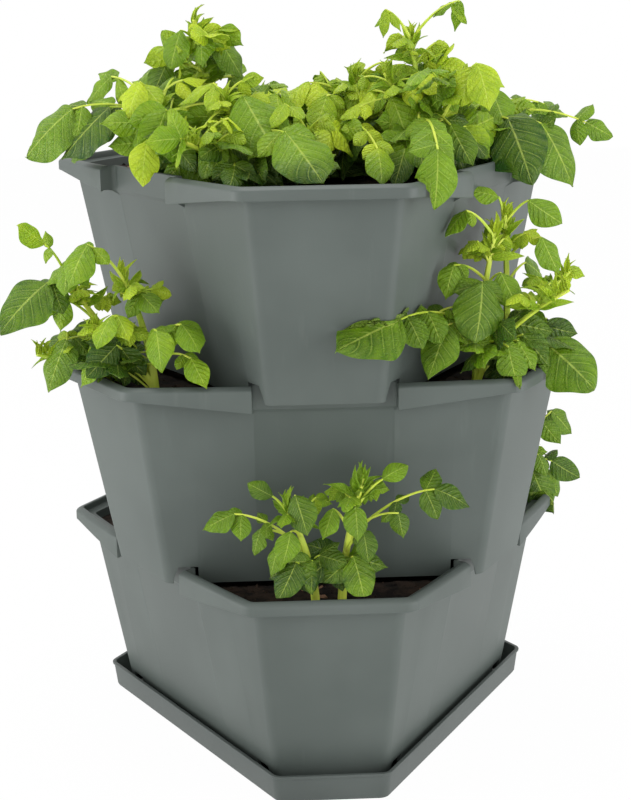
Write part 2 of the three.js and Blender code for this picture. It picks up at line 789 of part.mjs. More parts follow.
// A compound leaf: a stalk that arches over from the stem, an end leaflet and pairs beside it
function leafSolids(stem, leafShare, index, extra) {
  const [from, right, back, up, size, pairs, droop] = leafShare;
  const start = stem.getPoint(from);
  const middle = new THREE.Vector3(right, back, up).multiplyScalar(plantReach);
  const heading = Math.atan2(middle.y - start.y, middle.x - start.x);
  const length = leafletLength * size;
  const end = middle.addScaledVector(drooping(heading, droop), -length / 2);
  const curve = archedCurve(start, start.distanceTo(end) * stalkArchShare, end);
  const across = acrossHeading(heading);
  const steps = Math.max(pairs + 1, 2);
  const stalk = stemRings(curve, across, stalkRadius + extra, stalkTipRadius + extra, steps);
  const twist = leafTwist * Math.sin(index * leafTwistStep);
  const solids = [leafletSolid(stalk, end, heading, length, droop, twist, extra)];
  for (let pair = 1; pair <= pairs; pair++) {
    const joint = curve.getPoint(1 - pair / steps);
    const pairLength = length * pairSizeShare ** pair;
    for (const side of [-1, 1]) {
      const turned = heading + side * pairSpread;
      const radius = jointRadius + extra;
      const foot = flatRing(joint, acrossHeading(turned), upward, radius, radius, 0);
      const pairDroop = droop * pairDroopShare;
      solids.push(leafletSolid([foot], joint, turned, pairLength, pairDroop, -side * twist, extra));
    }
  }
  return solids;
}

// One shoot, standing on the soil at its own origin; extra is what it is grown by
function shootSolid(shoot, extra) {
  const top = new THREE.Vector3(...shoot.stemShares).multiplyScalar(plantReach);
  const bend = new THREE.Vector3(0, 0, top.z * stemUprightShare);
  const stem = new THREE.QuadraticBezierCurve3(new THREE.Vector3(), bend, top);
  const across = new THREE.Vector3(1, 0, 0);
  const rings = stemRings(stem, across, stemRadius + extra, stemTipRadius + extra, stemSteps);
  const solids = [loft(rings)];
  shoot.leafShares.forEach((leafShare, index) => {
    solids.push(...leafSolids(stem, leafShare, index, extra));
  });
  return joined(solids);
}

// Where a shoot's root is, under the heaped soil of its tub
function rootPlace(shoot) {
  const [out, across] = shoot.rootShares;
  const place = polar(shoot.azimuth, out * rimShortFace, across * rimShortFace);
  const level = tierLevel(shoot.tier) + heapLevel - plantingDepth;
  return new THREE.Vector3(place.x, place.y, level);
}

function tierLevel(tier) {
  return lowestTubLevel + tier * tierPitch;
}

// The space round a tub's own rim and wall that its plants keep out of
function shellSpace(tier) {
  const near = -wallThickness - leafClearance;
  const skirtLevel = skirtEndLevel - leafClearance;
  const top = tubHeight + leafClearance;
  const space = sweepRound([
    ...wallRings(0, skirtLevel, leafClearance),
    ringAt(rimFaces(rimOverhang + leafClearance), skirtLevel),
    ringAt(rimFaces(rimOverhang + leafClearance), top),
    ringAt(panelFaces(near), top),
    ...wallRings(skirtLevel, 0, near),
  ]);
  return space.rotate([0, 0, (tier * tierTurn * 180) / Math.PI]).translate([0, 0, tierLevel(tier)]);
}

// The space that a tub takes up as it is lifted off the one below
function liftSpace(tier) {
  const skirtLevel = skirtEndLevel - leafClearance;
  const top = tubHeight + tierLift;
  const space = loft([
    ringAt(wallFaces(0, leafClearance), -leafClearance),
    ...wallRings(0, skirtLevel, leafClearance),
    ringAt(rimFaces(rimOverhang + leafClearance), skirtLevel + rimOverhang / 2),
    ringAt(rimFaces(rimOverhang + leafClearance), top),
  ]);
  return space.rotate([0, 0, (tier * tierTurn * 180) / Math.PI]).translate([0, 0, tierLevel(tier)]);
}

// The piece of a trimmed shoot that still stands on its root
function largestBody(solid) {
  const bodies = solid.decompose();
  return bodies.reduce((largest, body) => (body.volume() > largest.volume() ? body : largest));
}

// The spaces that the shoots in one tub keep out of, because of the tubs
function tubSpaces(tier) {
  const isTop = tier + 1 === tierNames.length;
  return isTop ? [shellSpace(tier)] : [shellSpace(tier), liftSpace(tier + 1)];
}

// All the shoots, each trimmed clear of the tubs and of the shoots made before it
function addShoots(group) {
  const taken = tierNames.map((tierName, tier) => joined(tubSpaces(tier)));
  for (const shoot of shoots) {
    const root = rootPlace(shoot);
    const surface = tierLevel(shoot.tier) + heapLevel + seatGap;
    const solid = shootSolid(shoot, 0).translate(root.toArray()).trimByPlane([0, 0, 1], surface);
    const free = largestBody(solid.subtract(taken[shoot.tier]));
    taken[shoot.tier] = taken[shoot.tier].add(shootSolid(shoot, leafClearance).translate(root.toArray()));
    const mesh = meshFromSolid(shoot.name, free.translate(root.clone().negate().toArray()), leafMaterial);
    mesh.position.copy(root);
    group.add(mesh);
  }
}

const group = new THREE.Group();

const saucer = meshFromSolid("saucer", saucerSolid(), saucerMaterial);
group.add(saucer);

const tub = tubSolid();
tierNames.forEach((tierName, tier) => {
  const level = new THREE.Group();
  level.position.z = tierLevel(tier);
  level.rotation.z = tier * tierTurn;
  level.add(meshFromSolid(`${tierName}_tub`, tub, tubMaterial));
  level.add(meshFromSolid(`${tierName}_soil`, soilSolid(tier), soilMaterial));
  group.add(level);
});
addShoots(group);

export default group;
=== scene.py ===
"""Looks of the vertical planter tower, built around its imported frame. Metres, +Z up."""

import math
import random

import bmesh
import bpy
import numpy as np
from mathutils import Matrix, Vector, noise


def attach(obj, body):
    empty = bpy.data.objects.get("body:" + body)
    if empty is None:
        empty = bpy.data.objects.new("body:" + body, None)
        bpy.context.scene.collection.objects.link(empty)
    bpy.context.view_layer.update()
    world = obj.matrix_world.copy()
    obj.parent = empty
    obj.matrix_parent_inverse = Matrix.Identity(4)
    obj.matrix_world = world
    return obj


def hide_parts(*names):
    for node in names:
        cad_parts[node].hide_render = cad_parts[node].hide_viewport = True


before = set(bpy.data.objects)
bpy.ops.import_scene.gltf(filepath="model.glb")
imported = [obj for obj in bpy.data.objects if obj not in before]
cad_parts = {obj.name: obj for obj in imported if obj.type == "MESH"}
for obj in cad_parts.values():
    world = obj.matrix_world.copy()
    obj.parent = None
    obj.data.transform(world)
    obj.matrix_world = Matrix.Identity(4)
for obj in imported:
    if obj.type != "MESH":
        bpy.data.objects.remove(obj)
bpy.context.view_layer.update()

# Tub: distances from its axis to the three long and the three short sides
TUB_HEIGHT = 0.190
FOOT_LONG_FACE = 0.138
FOOT_SHORT_FACE = 0.1915
RIM_LONG_FACE = 0.168
RIM_SHORT_FACE = 0.225
SIDE_BOW = 0.007
WALL_CORNER_RADIUS = 0.012
WALL = 0.003
FLOOR = 0.003
EDGE_ROUND = 0.0011

# Rim: a folded lip that runs round each corner and stops at the notches
RIM_OVERHANG = 0.0135
RIM_INSET = 0.0057
RIM_CORNER_RADIUS = 0.016
RIM_SHEET = 0.0024
RIM_SLOPE = 0.0045
RIM_FALL = 0.003
SKIRT_DEPTH = 0.0115
SKIRT_END_DEPTH = 0.023
SHOULDER_DEPTH = 0.010

# Notch in the middle of each long side
NOTCH_HALF = 0.062
NOTCH_PANEL_STEP = 0.0035
NOTCH_PANEL_LAP = 0.004
NOTCH_FILLET = 0.0035
NOTCH_CHEEK = 0.0028

# Foot: its depth under the rim that it stands on, its slots and its drain holes
FOOT_DEPTH = 0.0152
SLOT_FROM_CORNER = 0.005
SLOT_LENGTH = 0.023
SLOT_HEADROOM = 0.001
SLOT_LEAN = 0.005
SLOT_SIDE = 0.0003
DRAIN_RADIUS = 0.004
DRAIN_RING = 0.085
CORNER_DRAIN_RING = 0.140
DRAIN_SIDES = 24

# Saucer
SAUCER_LONG_FACE = 0.151
SAUCER_SHORT_FACE = 0.2155
SAUCER_HEIGHT = 0.026
SAUCER_FLARE = 0.003
SAUCER_WALL = 0.0024
SAUCER_FLOOR = 0.0028
SAUCER_CORNER_RADIUS = 0.011
SAUCER_FOOT_CHAMFER = 0.0025
SAUCER_LIP_WIDTH = 0.0014
SAUCER_LIP_HEIGHT = 0.003
SAUCER_RIB_HEIGHT = 0.0022
SAUCER_RIB_HALF = 0.002
SAUCER_RIB_START = 0.060
SAUCER_RIB_END = 0.200

# Soil
SOIL_DROP = 0.028
SOIL_HEAP_DROP = 0.013
SOIL_GAP = 0.0012
SOIL_SLOPE = 0.012
SOIL_RINGS = 46
SOIL_AROUND = 210
SOIL_RING_POWER = 0.8
SOIL_SEED = 40
SOIL_LUMPS = ((0.018, 0.0016), (0.007, 0.0011), (0.003, 0.0006))
SOIL_LUMP_SHIFT = 3.7
CRUMB_COUNT = 420
CRUMB_SIZE = (0.0009, 0.0026)
CRUMB_UNEVEN = (0.6, 1.3)
CHIP_COUNT = 26
CHIP_SIZE = (0.003, 0.007)
CHIP_WIDTH = (0.2, 0.45)
CHIP_THICKNESS = 0.12
CHIP_TILT = 0.5
CHIP_OUTLINE = ((-1, -0.7), (1, -1), (0.8, 1), (-0.7, 0.8))
BIT_REACH = (0.3, 0.97)
BIT_SPREAD = 0.6

# Stack
SEAT_GAP = 0.0003
TIER_PITCH = TUB_HEIGHT - FOOT_DEPTH
SAUCER_RIB_TOP = SAUCER_FLOOR + SAUCER_RIB_HEIGHT
LOWEST_TUB_LEVEL = SAUCER_RIB_TOP + SEAT_GAP
FLOOR_LEVEL = FOOT_DEPTH + SEAT_GAP
FLOOR_TOP = FLOOR_LEVEL + FLOOR
SKIRT_END_LEVEL = TUB_HEIGHT - SKIRT_END_DEPTH
SHOULDER_LEVEL = TUB_HEIGHT - SHOULDER_DEPTH
SHOULDER_TOP = SHOULDER_LEVEL + WALL
SOIL_LEVEL = TUB_HEIGHT - SOIL_DROP
HEAP_LEVEL = TUB_HEIGHT - SOIL_HEAP_DROP
TIERS = ("lower", "middle", "top")
BODIES = ("tier_1", "tier_2", "tier_3")

FRONT = -math.pi / 2
THIRD = 2 * math.pi / 3
SIXTH = math.pi / 3
TURN_RUN = math.tan(SIXTH / 2)
CORNERS = 3

# Meshes: rows of points as shares of half a side, of the notch and of the rounded end of a rim
CORNER_STEPS = 6
SIDE_ROWS = (0, 0.2, 0.4, 0.6, 0.8, 0.95)
NOTCH_ROWS = (0, 0.25, 0.5, 0.75)
NOTCH_FILLET_TURNS = (0, SIXTH / 2, SIXTH, 1.5 * SIXTH)
RIM_END_ROWS = ((0, 1), (0.3, 0.3), (1, 0))
SMOOTH_ANGLE = math.radians(38)
MERGE_DISTANCE = 0.000002

# Plants: plant reach is the unit of the tables of shares that place the shoots and their leaves
PLANT_REACH = 0.100
LEAFLET_LENGTH = 0.060
GOLDEN_ANGLE = math.pi * (3 - math.sqrt(5))
LIGHT_FROM = Vector((-0.15, -0.65, 0.75))
UP = Vector((0, 0, 1))

# Stems and stalks
STEM_RADIUS = 0.0042
STEM_TIP_RADIUS = 0.0018
STALK_RADIUS = 0.0015
STALK_TIP_RADIUS = 0.0009
STEM_SIDES = 9
STEM_STEPS = 24
SIDE_STEM_STEPS = 16
STALK_STEPS = 10
STEM_FLATNESS = 0.85
STEM_RIDGES = 3
STEM_RIDGE = 0.12
STEM_END_SHARE = 0.3
STEM_SIDEWAYS = 0.9
STEM_UPRIGHT_SHARE = 0.5
STEM_TONE = 0.2
STALK_ARCH_SHARE = 0.22

# Leaflets in pairs beside a stalk
PAIR_SIZE_SHARE = 0.82
PAIR_SAG = 0.5
PAIR_AHEAD = 0.7
PAIR_SPREAD = 1.15
PAIR_JITTER = 0.3
PAIR_PITCH = 0.026
SMALL_PAIR_SHARE = 0.48
WIDE_LEAF = 0.8
WIDE_LEAF_WIDTH = 1.15
YOUNG_FROM = 0.95
YOUNG_WIDTH = 0.6

# Tones: 0 is the colour of a young leaf and 1 that of a deep green one
TIER_TONE = (0.25, 0.0, 0.05)
LEAF_TONE = (0.05, 0.35)
SIZE_TONE = 0.5
PALE_SHOOTS = ("top_front_left_shoot", "top_middle_shoot")
PALE_STEP = 0.35
# Painted shade: leaves below the rim inside the tub are darkened by their depth
DEEP_LEVEL = 0.022
DEEP_REACH = 0.035
PAINTED_DEPTH_SHADE = 0.6
TONE_JITTER = 0.12
LEAF_TWIST = 0.35
LEAF_TWIST_STEP = 2.4

# The shoots: node, tier, pocket azimuth, root out and across in its pocket as shares of the rim's
# short face, and stem top right, back and up as shares of the plant reach. Each leaf: where it leaves
# the stem, its end leaflet's middle (right, back, up), size, pairs beside it, and droop.
SHOOTS = (
    ("front_left_shoot", 0, FRONT, (0.86, -0.05), (-0.25, -0.1, 1.05), (
        (0.55, -0.82, -0.2, 0.95, 0.5, 1, 0.2), (0.9, -0.12, -0.3, 1.02, 0.6, 0, 0.5),
        (0.7, -0.24, -0.33, 0.72, 0.5, 0, 0.7), (0.5, -0.36, -0.26, 0.6, 0.45, 0, 0.7),
        (0.3, -0.24, -0.34, 0.44, 0.6, 1, 0.5), (0.75, -0.46, 0, 1.15, 0.4, 0, -0.3),
        (0.6, -0.5, -0.12, 0.72, 0.4, 0, 0.8),
    )),
    ("front_right_shoot", 0, FRONT, (0.86, 0.05), (0.2, -0.08, 1.25), (
        (0.55, 0.95, -0.15, 1.1, 0.55, 1, 0.2), (0.6, -0.12, -0.28, 0.92, 0.45, 0, 0.6),
        (0.65, 0.12, -0.34, 0.94, 0.5, 0, 0.6), (0.45, 0.2, -0.32, 0.72, 0.45, 0, 0.75),
        (0.3, 0.14, -0.34, 0.46, 0.65, 1, 0.5), (0.6, 0.5, -0.2, 0.85, 0.4, 0, 0.9),
        (0.75, 0.46, -0.05, 1.3, 0.4, 0, -0.4),
    )),
    ("back_right_shoot", 0, FRONT + THIRD, (0.88, -0.07), (0.45, -0.1, 0.75), (
        (0.95, 0.78, 0, 0.95, 0.6, 0, 0.5), (0.9, 0.62, -0.18, 0.88, 0.5, 0, 0.6),
        (0.8, 0.54, -0.28, 0.58, 0.4, 0, 0.6), (0.7, 0.8, -0.1, 0.46, 0.6, 0, 0.4),
        (0.5, 0.52, -0.3, 0.3, 0.8, 0, 0.7), (0.6, 0.72, 0.1, 0.26, 0.6, 0, 0.7),
        (0.6, 0.1, 0.45, 0.7, 0.7, 1, 0.3),
    )),
    ("middle_left_front_shoot", 1, FRONT - SIXTH, (0.84, 0.15), (-0.25, -0.05, 1.2), (
        (0.9, -0.62, -0.28, 1.3, 0.7, 0, 0.6), (0.5, -0.4, -0.46, 0.78, 0.55, 1, 0.4),
        (0.4, 0.36, -0.56, 0.72, 0.6, 1, 0.3), (0.45, 0.08, -0.6, 0.62, 0.6, 0, 0.6),
        (0.75, -0.02, -0.25, 0.98, 0.5, 1, 0.2), (0.3, 0.4, -0.6, 0.42, 0.5, 0, 0.5),
        (0.3, -0.55, -0.3, 0.4, 0.5, 0, 0.5),
    )),
    ("middle_left_outer_shoot", 1, FRONT - SIXTH, (0.86, -0.1), (-0.4, -0.35, 1.05), (
        (0.85, -0.8, -0.55, 0.95, 1, 0, 0.35), (0.4, -0.52, -0.6, 0.42, 0.8, 0, 0.6),
        (0.95, -0.66, -0.6, 1.55, 0.5, 0, -0.4), (0.9, -0.4, -0.62, 1.2, 0.6, 1, 0.5),
        (0.45, -0.14, -0.62, 0.52, 0.5, 0, 0.6), (0.6, -0.7, -0.1, 0.85, 0.6, 1, 0.3),
    )),
    ("middle_right_front_shoot", 1, FRONT + SIXTH, (0.81, -0.19), (0.17, 0, 1.5), (
        (0.4, -0.98, -0.88, 0.8, 1.15, 0, 0.1), (0.35, -0.4, -0.58, 0.56, 0.8, 0, 0.6),
        (0.55, -0.02, -0.5, 0.88, 0.9, 0, 0.6), (0.5, -0.46, -0.4, 0.78, 0.5, 0, 0.3),
        (0.3, 0.24, -0.5, 0.38, 0.6, 0, 0.8), (0.65, 0.25, -0.25, 1, 0.6, 0, 0.6),
        (0.95, -0.22, -0.2, 1.6, 0.5, 0, 0.4), (0.7, -0.28, -0.28, 1.1, 0.5, 0, 0.7),
    )),
    ("middle_right_outer_shoot", 1, FRONT + SIXTH, (0.86, 0.02), (-0.06, -0.17, 1.6), (
        (0.3, 0.48, -0.46, 0.34, 1.1, 0, 0.3), (0.3, 0.05, -0.5, 0.4, 0.6, 0, 0.6),
        (0.75, 0.32, -0.3, 1.25, 0.6, 0, 0.7), (0.95, 0.28, -0.24, 1.62, 0.6, 0, 0.4),
        (0.95, -0.24, -0.2, 1.8, 0.45, 0, -0.2), (0.3, 0.58, 0.2, 0.35, 0.7, 1, 0.4),
        (0.6, 0.3, 0.2, 1.05, 0.6, 0, 0.3),
    )),
    ("top_left_shoot", 2, FRONT - SIXTH, (0.58, 0.04), (-0.35, 0.1, 0.85), (
        (0.8, -1.3, 0.2, 0.62, 1.05, 0, 0.4), (0.7, -0.95, 0, 0.62, 1.05, 0, 0.45),
        (0.95, -0.85, 0.42, 0.95, 0.7, 1, 0.4), (0.6, -1, 0.5, 0.5, 0.8, 0, 0.4),
        (0.9, -0.1, 0.6, 0.95, 0.7, 1, 0.3),
    )),
    ("top_back_left_shoot", 2, FRONT - THIRD, (0.44, 0.08), (-0.1, -0.5, 1.55), (
        (0.85, -0.28, -0.58, 1.3, 0.6, 0, 0.7), (0.9, 0, -0.5, 1.4, 0.5, 0, 0.6),
        (0.8, 0.22, -0.4, 1.22, 0.7, 0, 0.6), (0.7, -0.6, 0, 1.05, 0.7, 1, 0.3),
        (0.6, 0.45, 0.1, 0.9, 0.8, 1, 0.3), (0.5, -0.3, 0.6, 0.8, 0.8, 1, 0.4),
    )),
    ("top_front_left_shoot", 2, FRONT - SIXTH, (0.46, 0.27), (-0.2, -0.02, 0.9), (
        (0.9, -0.68, 0, 0.68, 0.7, 0, 0.5), (0.95, -0.45, 0, 0.95, 0.6, 1, 0.3),
        (0.4, -0.9, -0.32, 0.38, 0.62, 0, 0.85), (0.6, -0.32, -0.4, 0.46, 0.7, 0, 0.6),
        (0.8, 0.08, -0.4, 0.72, 1.05, 0, 0.45), (0.5, 0.45, -0.8, 0.48, 1.05, 0, 0.35),
        (0.7, -0.12, -0.2, 0.62, 0.6, 0, 0.4),
    )),
    ("top_middle_shoot", 2, FRONT, (0.16, 0.09), (0.2, -0.2, 1.05), (
        (0.95, 0.52, -0.3, 1.02, 0.6, 0, 0.6), (0.8, 0.52, -0.72, 0.72, 0.7, 0, 0.6),
        (0.5, 0.3, -1.38, 0.37, 0.6, 0, 0.5), (0.8, -0.42, -0.25, 0.9, 0.7, 1, 0.3),
        (0.7, -0.7, -0.1, 0.8, 0.6, 1, 0.3), (0.7, -0.15, -0.6, 0.75, 0.6, 0, 0.6),
        (0.7, 0, 0.7, 0.8, 0.9, 0, 0.4),
    )),
    ("top_right_shoot", 2, FRONT + SIXTH, (0.53, -0.08), (-0.07, 0.2, 1.4), (
        (0.97, 0.3, -0.1, 1.55, 0.45, 1, 1.1), (0.95, -0.33, -0.05, 1.5, 0.4, 1, 0.9),
        (0.7, 0.4, 0.1, 0.9, 0.6, 1, 0.2), (0.5, -0.11, -0.8, 0.5, 0.7, 0, 0.4),
        (0.5, 0.27, -0.55, 0.5, 0.7, 0, 0.5), (0.4, -0.03, -1.5, 0.3, 0.8, 0, 0.9),
        (0.85, 0.2, 0.3, 1.1, 0.6, 0, 0.6), (0.6, -0.4, 0.85, 0.8, 0.8, 1, 0.4),
    )),
    ("top_far_right_shoot", 2, FRONT + SIXTH, (0.58, 0.21), (0.2, 0.05, 0.75), (
        (0.9, 0.3, -0.3, 0.75, 0.7, 0, 0.5), (0.7, 0.46, -0.56, 0.4, 1.05, 0, 0.6),
        (0.75, 0.85, -0.35, 0.34, 1.05, 0, 0.6), (0.8, 1.3, 0.1, 0.5, 0.5, 1, 0.3),
        (0.9, 0.95, 0.4, 0.68, 0.5, 1, 0.2), (0.6, 0.1, -0.45, 0.55, 0.6, 0, 0.5),
        (0.8, 0.3, 0.75, 0.6, 0.8, 1, 0.4),
    )),
)

# Side stems and seeded leaves round the stems, for the lowest, middle and top tub. A grade is what
# a value starts at and how it changes up the stem.
SIDE_STEMS = (0, 1, 3)
SIDE_STEM_REACH = (0.3, 0.85)
SIDE_STEM_RISE = (0.45, 0.8)
SIDE_STEM_TURN = 0.5
SIDE_STEM_RADIUS_SHARE = 0.8
BUSH_LEAVES = (2, 6, 10)
BUSH_REACH = (0.035, 0.05, 0.065)
BUSH_REACH_JITTER = (0.5, 1.1)
BUSH_REACH_GRADE = (1.2, -0.6)
BUSH_SPREAD = (1.2, 1.35, math.pi)
BUSH_FROM = (0.2, 0.08, 0.2)
BUSH_TO = (0.55, 0.42, 1.0)
BUSH_RISE = (-0.25, 0.65)
BUSH_SIZE = ((0.4, 0.65), (0.32, 0.62), (0.4, 0.85))
BUSH_SIZE_GRADE = (1.15, -0.5)
# Tone up the stem: the low leaves darker, a painted shade for the inside of the bush
BUSH_TONE_SHADE_GRADE = (0.95, -0.8)
BUSH_TONE_JITTER = 0.25
BUSH_PAIRS = (1, 1, 2)
BUSH_TWIST = 1.0
BUSH_DROOP = (-0.3, 0.7)
BUSH_TRIES = 8
BUSH_LIFT = 0.010
LEAF_CLEARANCE = 0.002
RIM_CLEARANCE = 0.0025
RIM_WATCH = 0.030

# Young leaves at the ends of the stems, and the feathery ones under them
CROWN_LEAVES = 15
CROWN_SIZE = 0.4
CROWN_SHARE = 0.2
CROWN_WIDTH = 0.4
CROWN_TURN = 0.4
CROWN_PITCH_GRADE = (-1.0, 0.9)
CROWN_PITCH_JITTER = 0.2
CROWN_LENGTH_GRADE = (0.55, 0.6)
CROWN_LENGTH_JITTER = (0.75, 1.2)
CROWN_FOLD = (0.5, 1.1)
CROWN_TWIST = 0.9
CROWN_CURL = 1.1
CROWN_TONE = 0.1
SIDE_CROWN_TONE = 0.15
CROWN_TONE_RISE = 0.25
FEATHERS = 3
FEATHER_REACH = 0.026
FEATHER_SIZE = 0.28
FEATHER_PAIRS = 3
FEATHER_TURN = 0.3
FEATHER_RISE = (0.2, 0.9)
FEATHER_DROOP = 0.2
FEATHER_TWIST = 0.3
FEATHER_TONE = 0.1

# Leaflet mesh
LEAF_ROWS = 34
LEAF_COLUMNS = 12
LEAF_LEAST_ROWS = 9
LEAF_LEAST_HALF_COLUMNS = 3
LEAF_CROWDING = 0.8
LEAF_HALF_WIDTH_SHARE = 0.36
LEAF_WIDEST = (0.38, 0.5)
LEAF_POINT = (-0.1, 0.75)
LEAF_ROUNDNESS = 0.72
LEAF_SCALLOP_SHARE = 0.018
LEAF_SCALLOPS = (9, 15)
LEAF_SCALLOP_START = (0, 6)
LEAF_VEINS = 6.0
LEAF_VEIN_LEAN = 0.8
LEAF_QUILT_SHARE = 0.032
LEAF_QUILT_AT_RIB = 5
LEAF_QUILT_POWER = 3
LEAF_QUILT_FULL = 0.2
LEAF_FOLD_SHARE = 0.26
LEAF_FOLD_JITTER = (0.6, 1.5)
LEAF_FOLD_POWER = 1.3
LEAF_SAG_SHARE = 0.14
LEAF_SAG_JITTER = (0.6, 1.6)
LEAF_WAVE_SHARE = 0.035
LEAF_WAVE_POWER = 2.5
LEAF_WAVES = (1.2, 2.4)
LEAF_WAVE_START = (1, 4)
LEAF_BEND = 0.12
LEAF_THICKNESS = 0.00045
MIDRIB_HEIGHT = 0.0009
MIDRIB_SHARE = 0.07
TINY = 1e-12


# Outline of the tub and the saucer, seen from above


def polar(azimuth, out, across):
    """A point at a distance out along an azimuth, and sideways from it."""
    x = out * math.cos(azimuth) - across * math.sin(azimuth)
    y = out * math.sin(azimuth) + across * math.cos(azimuth)
    return x, y


def wall_faces(level, offset):
    """Long face, short face, corner radius and bow of the wall, which bows out towards the rim."""
    share = level / TUB_HEIGHT
    return (
        FOOT_LONG_FACE + (RIM_LONG_FACE - FOOT_LONG_FACE) * share + offset,
        FOOT_SHORT_FACE + (RIM_SHORT_FACE - FOOT_SHORT_FACE) * share + offset,
        WALL_CORNER_RADIUS + min(0, offset),
        SIDE_BOW * share,
    )


def rim_faces(offset):
    radius = RIM_CORNER_RADIUS - RIM_OVERHANG + offset
    return RIM_LONG_FACE + offset, RIM_SHORT_FACE + offset, radius, SIDE_BOW


def panel_faces(offset):
    long_face, short_face, _, bow = wall_faces(SKIRT_END_LEVEL, offset + NOTCH_PANEL_STEP)
    return long_face, short_face, WALL_CORNER_RADIUS, bow


def saucer_faces(level, offset):
    out = SAUCER_FLARE * level / SAUCER_HEIGHT - SAUCER_FLARE + offset
    return SAUCER_LONG_FACE + out, SAUCER_SHORT_FACE + out, SAUCER_CORNER_RADIUS + offset, 0


def short_half(faces):
    return (2 * faces[0] - faces[1]) * TURN_RUN


def long_half(faces):
    return (2 * faces[1] - faces[0]) * TURN_RUN


def corner_point(faces, short_azimuth, side, share):
    """A point on the rounding at one end of a short side."""
    radius = faces[2]
    run = radius * TURN_RUN
    x, y = polar(short_azimuth, faces[1] - radius, side * (short_half(faces) - run))
    start = short_azimuth - SIXTH if side < 0 else short_azimuth
    dx, dy = polar(start + SIXTH * share, radius, 0)
    return x + dx, y + dy


def side_point(faces, long_azimuth, along):
    """A point on a long side, which bows out in its middle."""
    end = long_half(faces) - faces[2] * TURN_RUN
    bow = faces[3] * max(0, 1 - (along / end) ** 2)
    return polar(long_azimuth, faces[0] + bow, along)


class Station:
    """One place round the outline, with what the moulding does there."""

    def __init__(self, azimuth, **details):
        self.azimuth = azimuth
        for name in ("side", "share", "along", "slant", "foot", "panel", "inset", "rise"):
            setattr(self, name, details.get(name, 0))

    def at(self, faces, level, least_along=0):
        if self.side:
            x, y = corner_point(faces, self.azimuth, self.side, self.share)
        else:
            along = math.copysign(max(abs(self.along), least_along), self.along)
            x, y = side_point(faces, self.azimuth, along)
        return x, y, level


def round_outline(side_rows, corner_rows=()):
    """Stations once round: three short sides with their roundings, and the rows of each long side."""
    stations = []
    started = max((share for share, _ in corner_rows), default=-1)
    steps = [step / CORNER_STEPS for step in range(CORNER_STEPS + 1)]
    rounding = [*corner_rows, *((share, 0) for share in steps if share > started)]
    for turn in range(CORNERS):
        short_azimuth = FRONT + turn * THIRD
        stations.extend(Station(short_azimuth, side=-1, share=share, foot=foot) for share, foot in rounding)
        for share, foot in reversed(rounding):
            stations.append(Station(short_azimuth, side=1, share=1 - share, foot=foot))
        for sign in (-1, 1):
            for row in sorted(side_rows, key=lambda row: sign * row["along"]):
                if row["along"] or sign > 0:
                    placed = dict(row, along=sign * row["along"])
                    stations.append(Station(short_azimuth + SIXTH, **placed))
    return stations


def plain_outline(faces):
    """Stations once round an outline with nothing on its sides."""
    end = long_half(faces) - faces[2]
    return round_outline([dict(along=end * share) for share in SIDE_ROWS])


SLOT_NEAR = long_half(wall_faces(0, 0)) - SLOT_FROM_CORNER
SLOT_FAR = SLOT_NEAR - SLOT_LENGTH
SLOT_TOP = FOOT_DEPTH + SLOT_HEADROOM


def tub_corner_rows():
    """The start of each rounding, where the leaning side of the foot's slot comes down."""
    straight = long_half(wall_faces(0, 0)) - WALL_CORNER_RADIUS * TURN_RUN
    arc = WALL_CORNER_RADIUS * SIXTH
    over = SLOT_NEAR - straight
    height = SLOT_TOP * over / SLOT_LEAN
    return ((0, height), (over / arc, SLOT_SIDE))


def tub_side_rows():
    """Half of a long side, from the notch's middle to the corner: notch, rim's end and foot's slot."""
    end = long_half(wall_faces(SKIRT_END_LEVEL, 0))

    def slant(along):
        return (end - along) / (end - NOTCH_HALF)

    rows = [dict(along=share * NOTCH_HALF, panel=True) for share in NOTCH_ROWS]
    for turn in NOTCH_FILLET_TURNS:
        along = NOTCH_HALF - NOTCH_FILLET * (1 - math.sin(turn))
        rows.append(dict(along=along, panel=True, rise=NOTCH_FILLET * (1 - math.cos(turn))))
    for share, inset in RIM_END_ROWS:
        along = NOTCH_HALF + share * EDGE_ROUND
        rows.append(dict(along=along + SLOT_SIDE / 2, slant=1, inset=inset * EDGE_ROUND))
    middle = (NOTCH_HALF + SLOT_FAR) / 2
    feet = ((middle, 0), (SLOT_FAR - SLOT_SIDE, 0), (SLOT_FAR, SLOT_TOP), (SLOT_NEAR - SLOT_LEAN, SLOT_TOP))
    rows.extend(dict(along=along, slant=slant(along), foot=foot) for along, foot in feet)
    return rows


# Meshes


def new_object(name, data):
    item = bpy.data.objects.new(name, data)
    bpy.context.scene.collection.objects.link(item)
    return item


def new_piece(node, kind, points, faces, materials, body, slots=None):
    """A mesh object that rides on a body and stands for a node."""
    name = f"{node}_{kind}"
    mesh = bpy.data.meshes.new(name)
    mesh.from_pydata([tuple(p) for p in points], [], faces)
    for material in materials:
        mesh.materials.append(material)
    if slots is not None:
        mesh.polygons.foreach_set("material_index", slots)
    mesh.polygons.foreach_set("use_smooth", [True] * len(mesh.polygons))
    mesh.update()
    mesh.validate()
    mesh.set_sharp_from_angle(angle=SMOOTH_ANGLE)
    piece = new_object(name, mesh)
    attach(piece, body)
    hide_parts(node)
    return piece


def strip(here, after, count, closed):
    """Faces between two rows of points, given the number of the first point of each."""
    faces = []
    for step in range(count if closed else count - 1):
        ahead = (step + 1) % count
        faces.append((here + step, here + ahead, after + ahead, after + step))
    return faces


def skin(profiles):
    """Points and faces of a skin over profiles that go once round."""
    count = len(profiles[0])
    points = [point for profile in profiles for point in profile]
    faces = []
    for index in range(len(profiles)):
        faces += strip(index * count, (index + 1) % len(profiles) * count, count, False)
    return points, faces


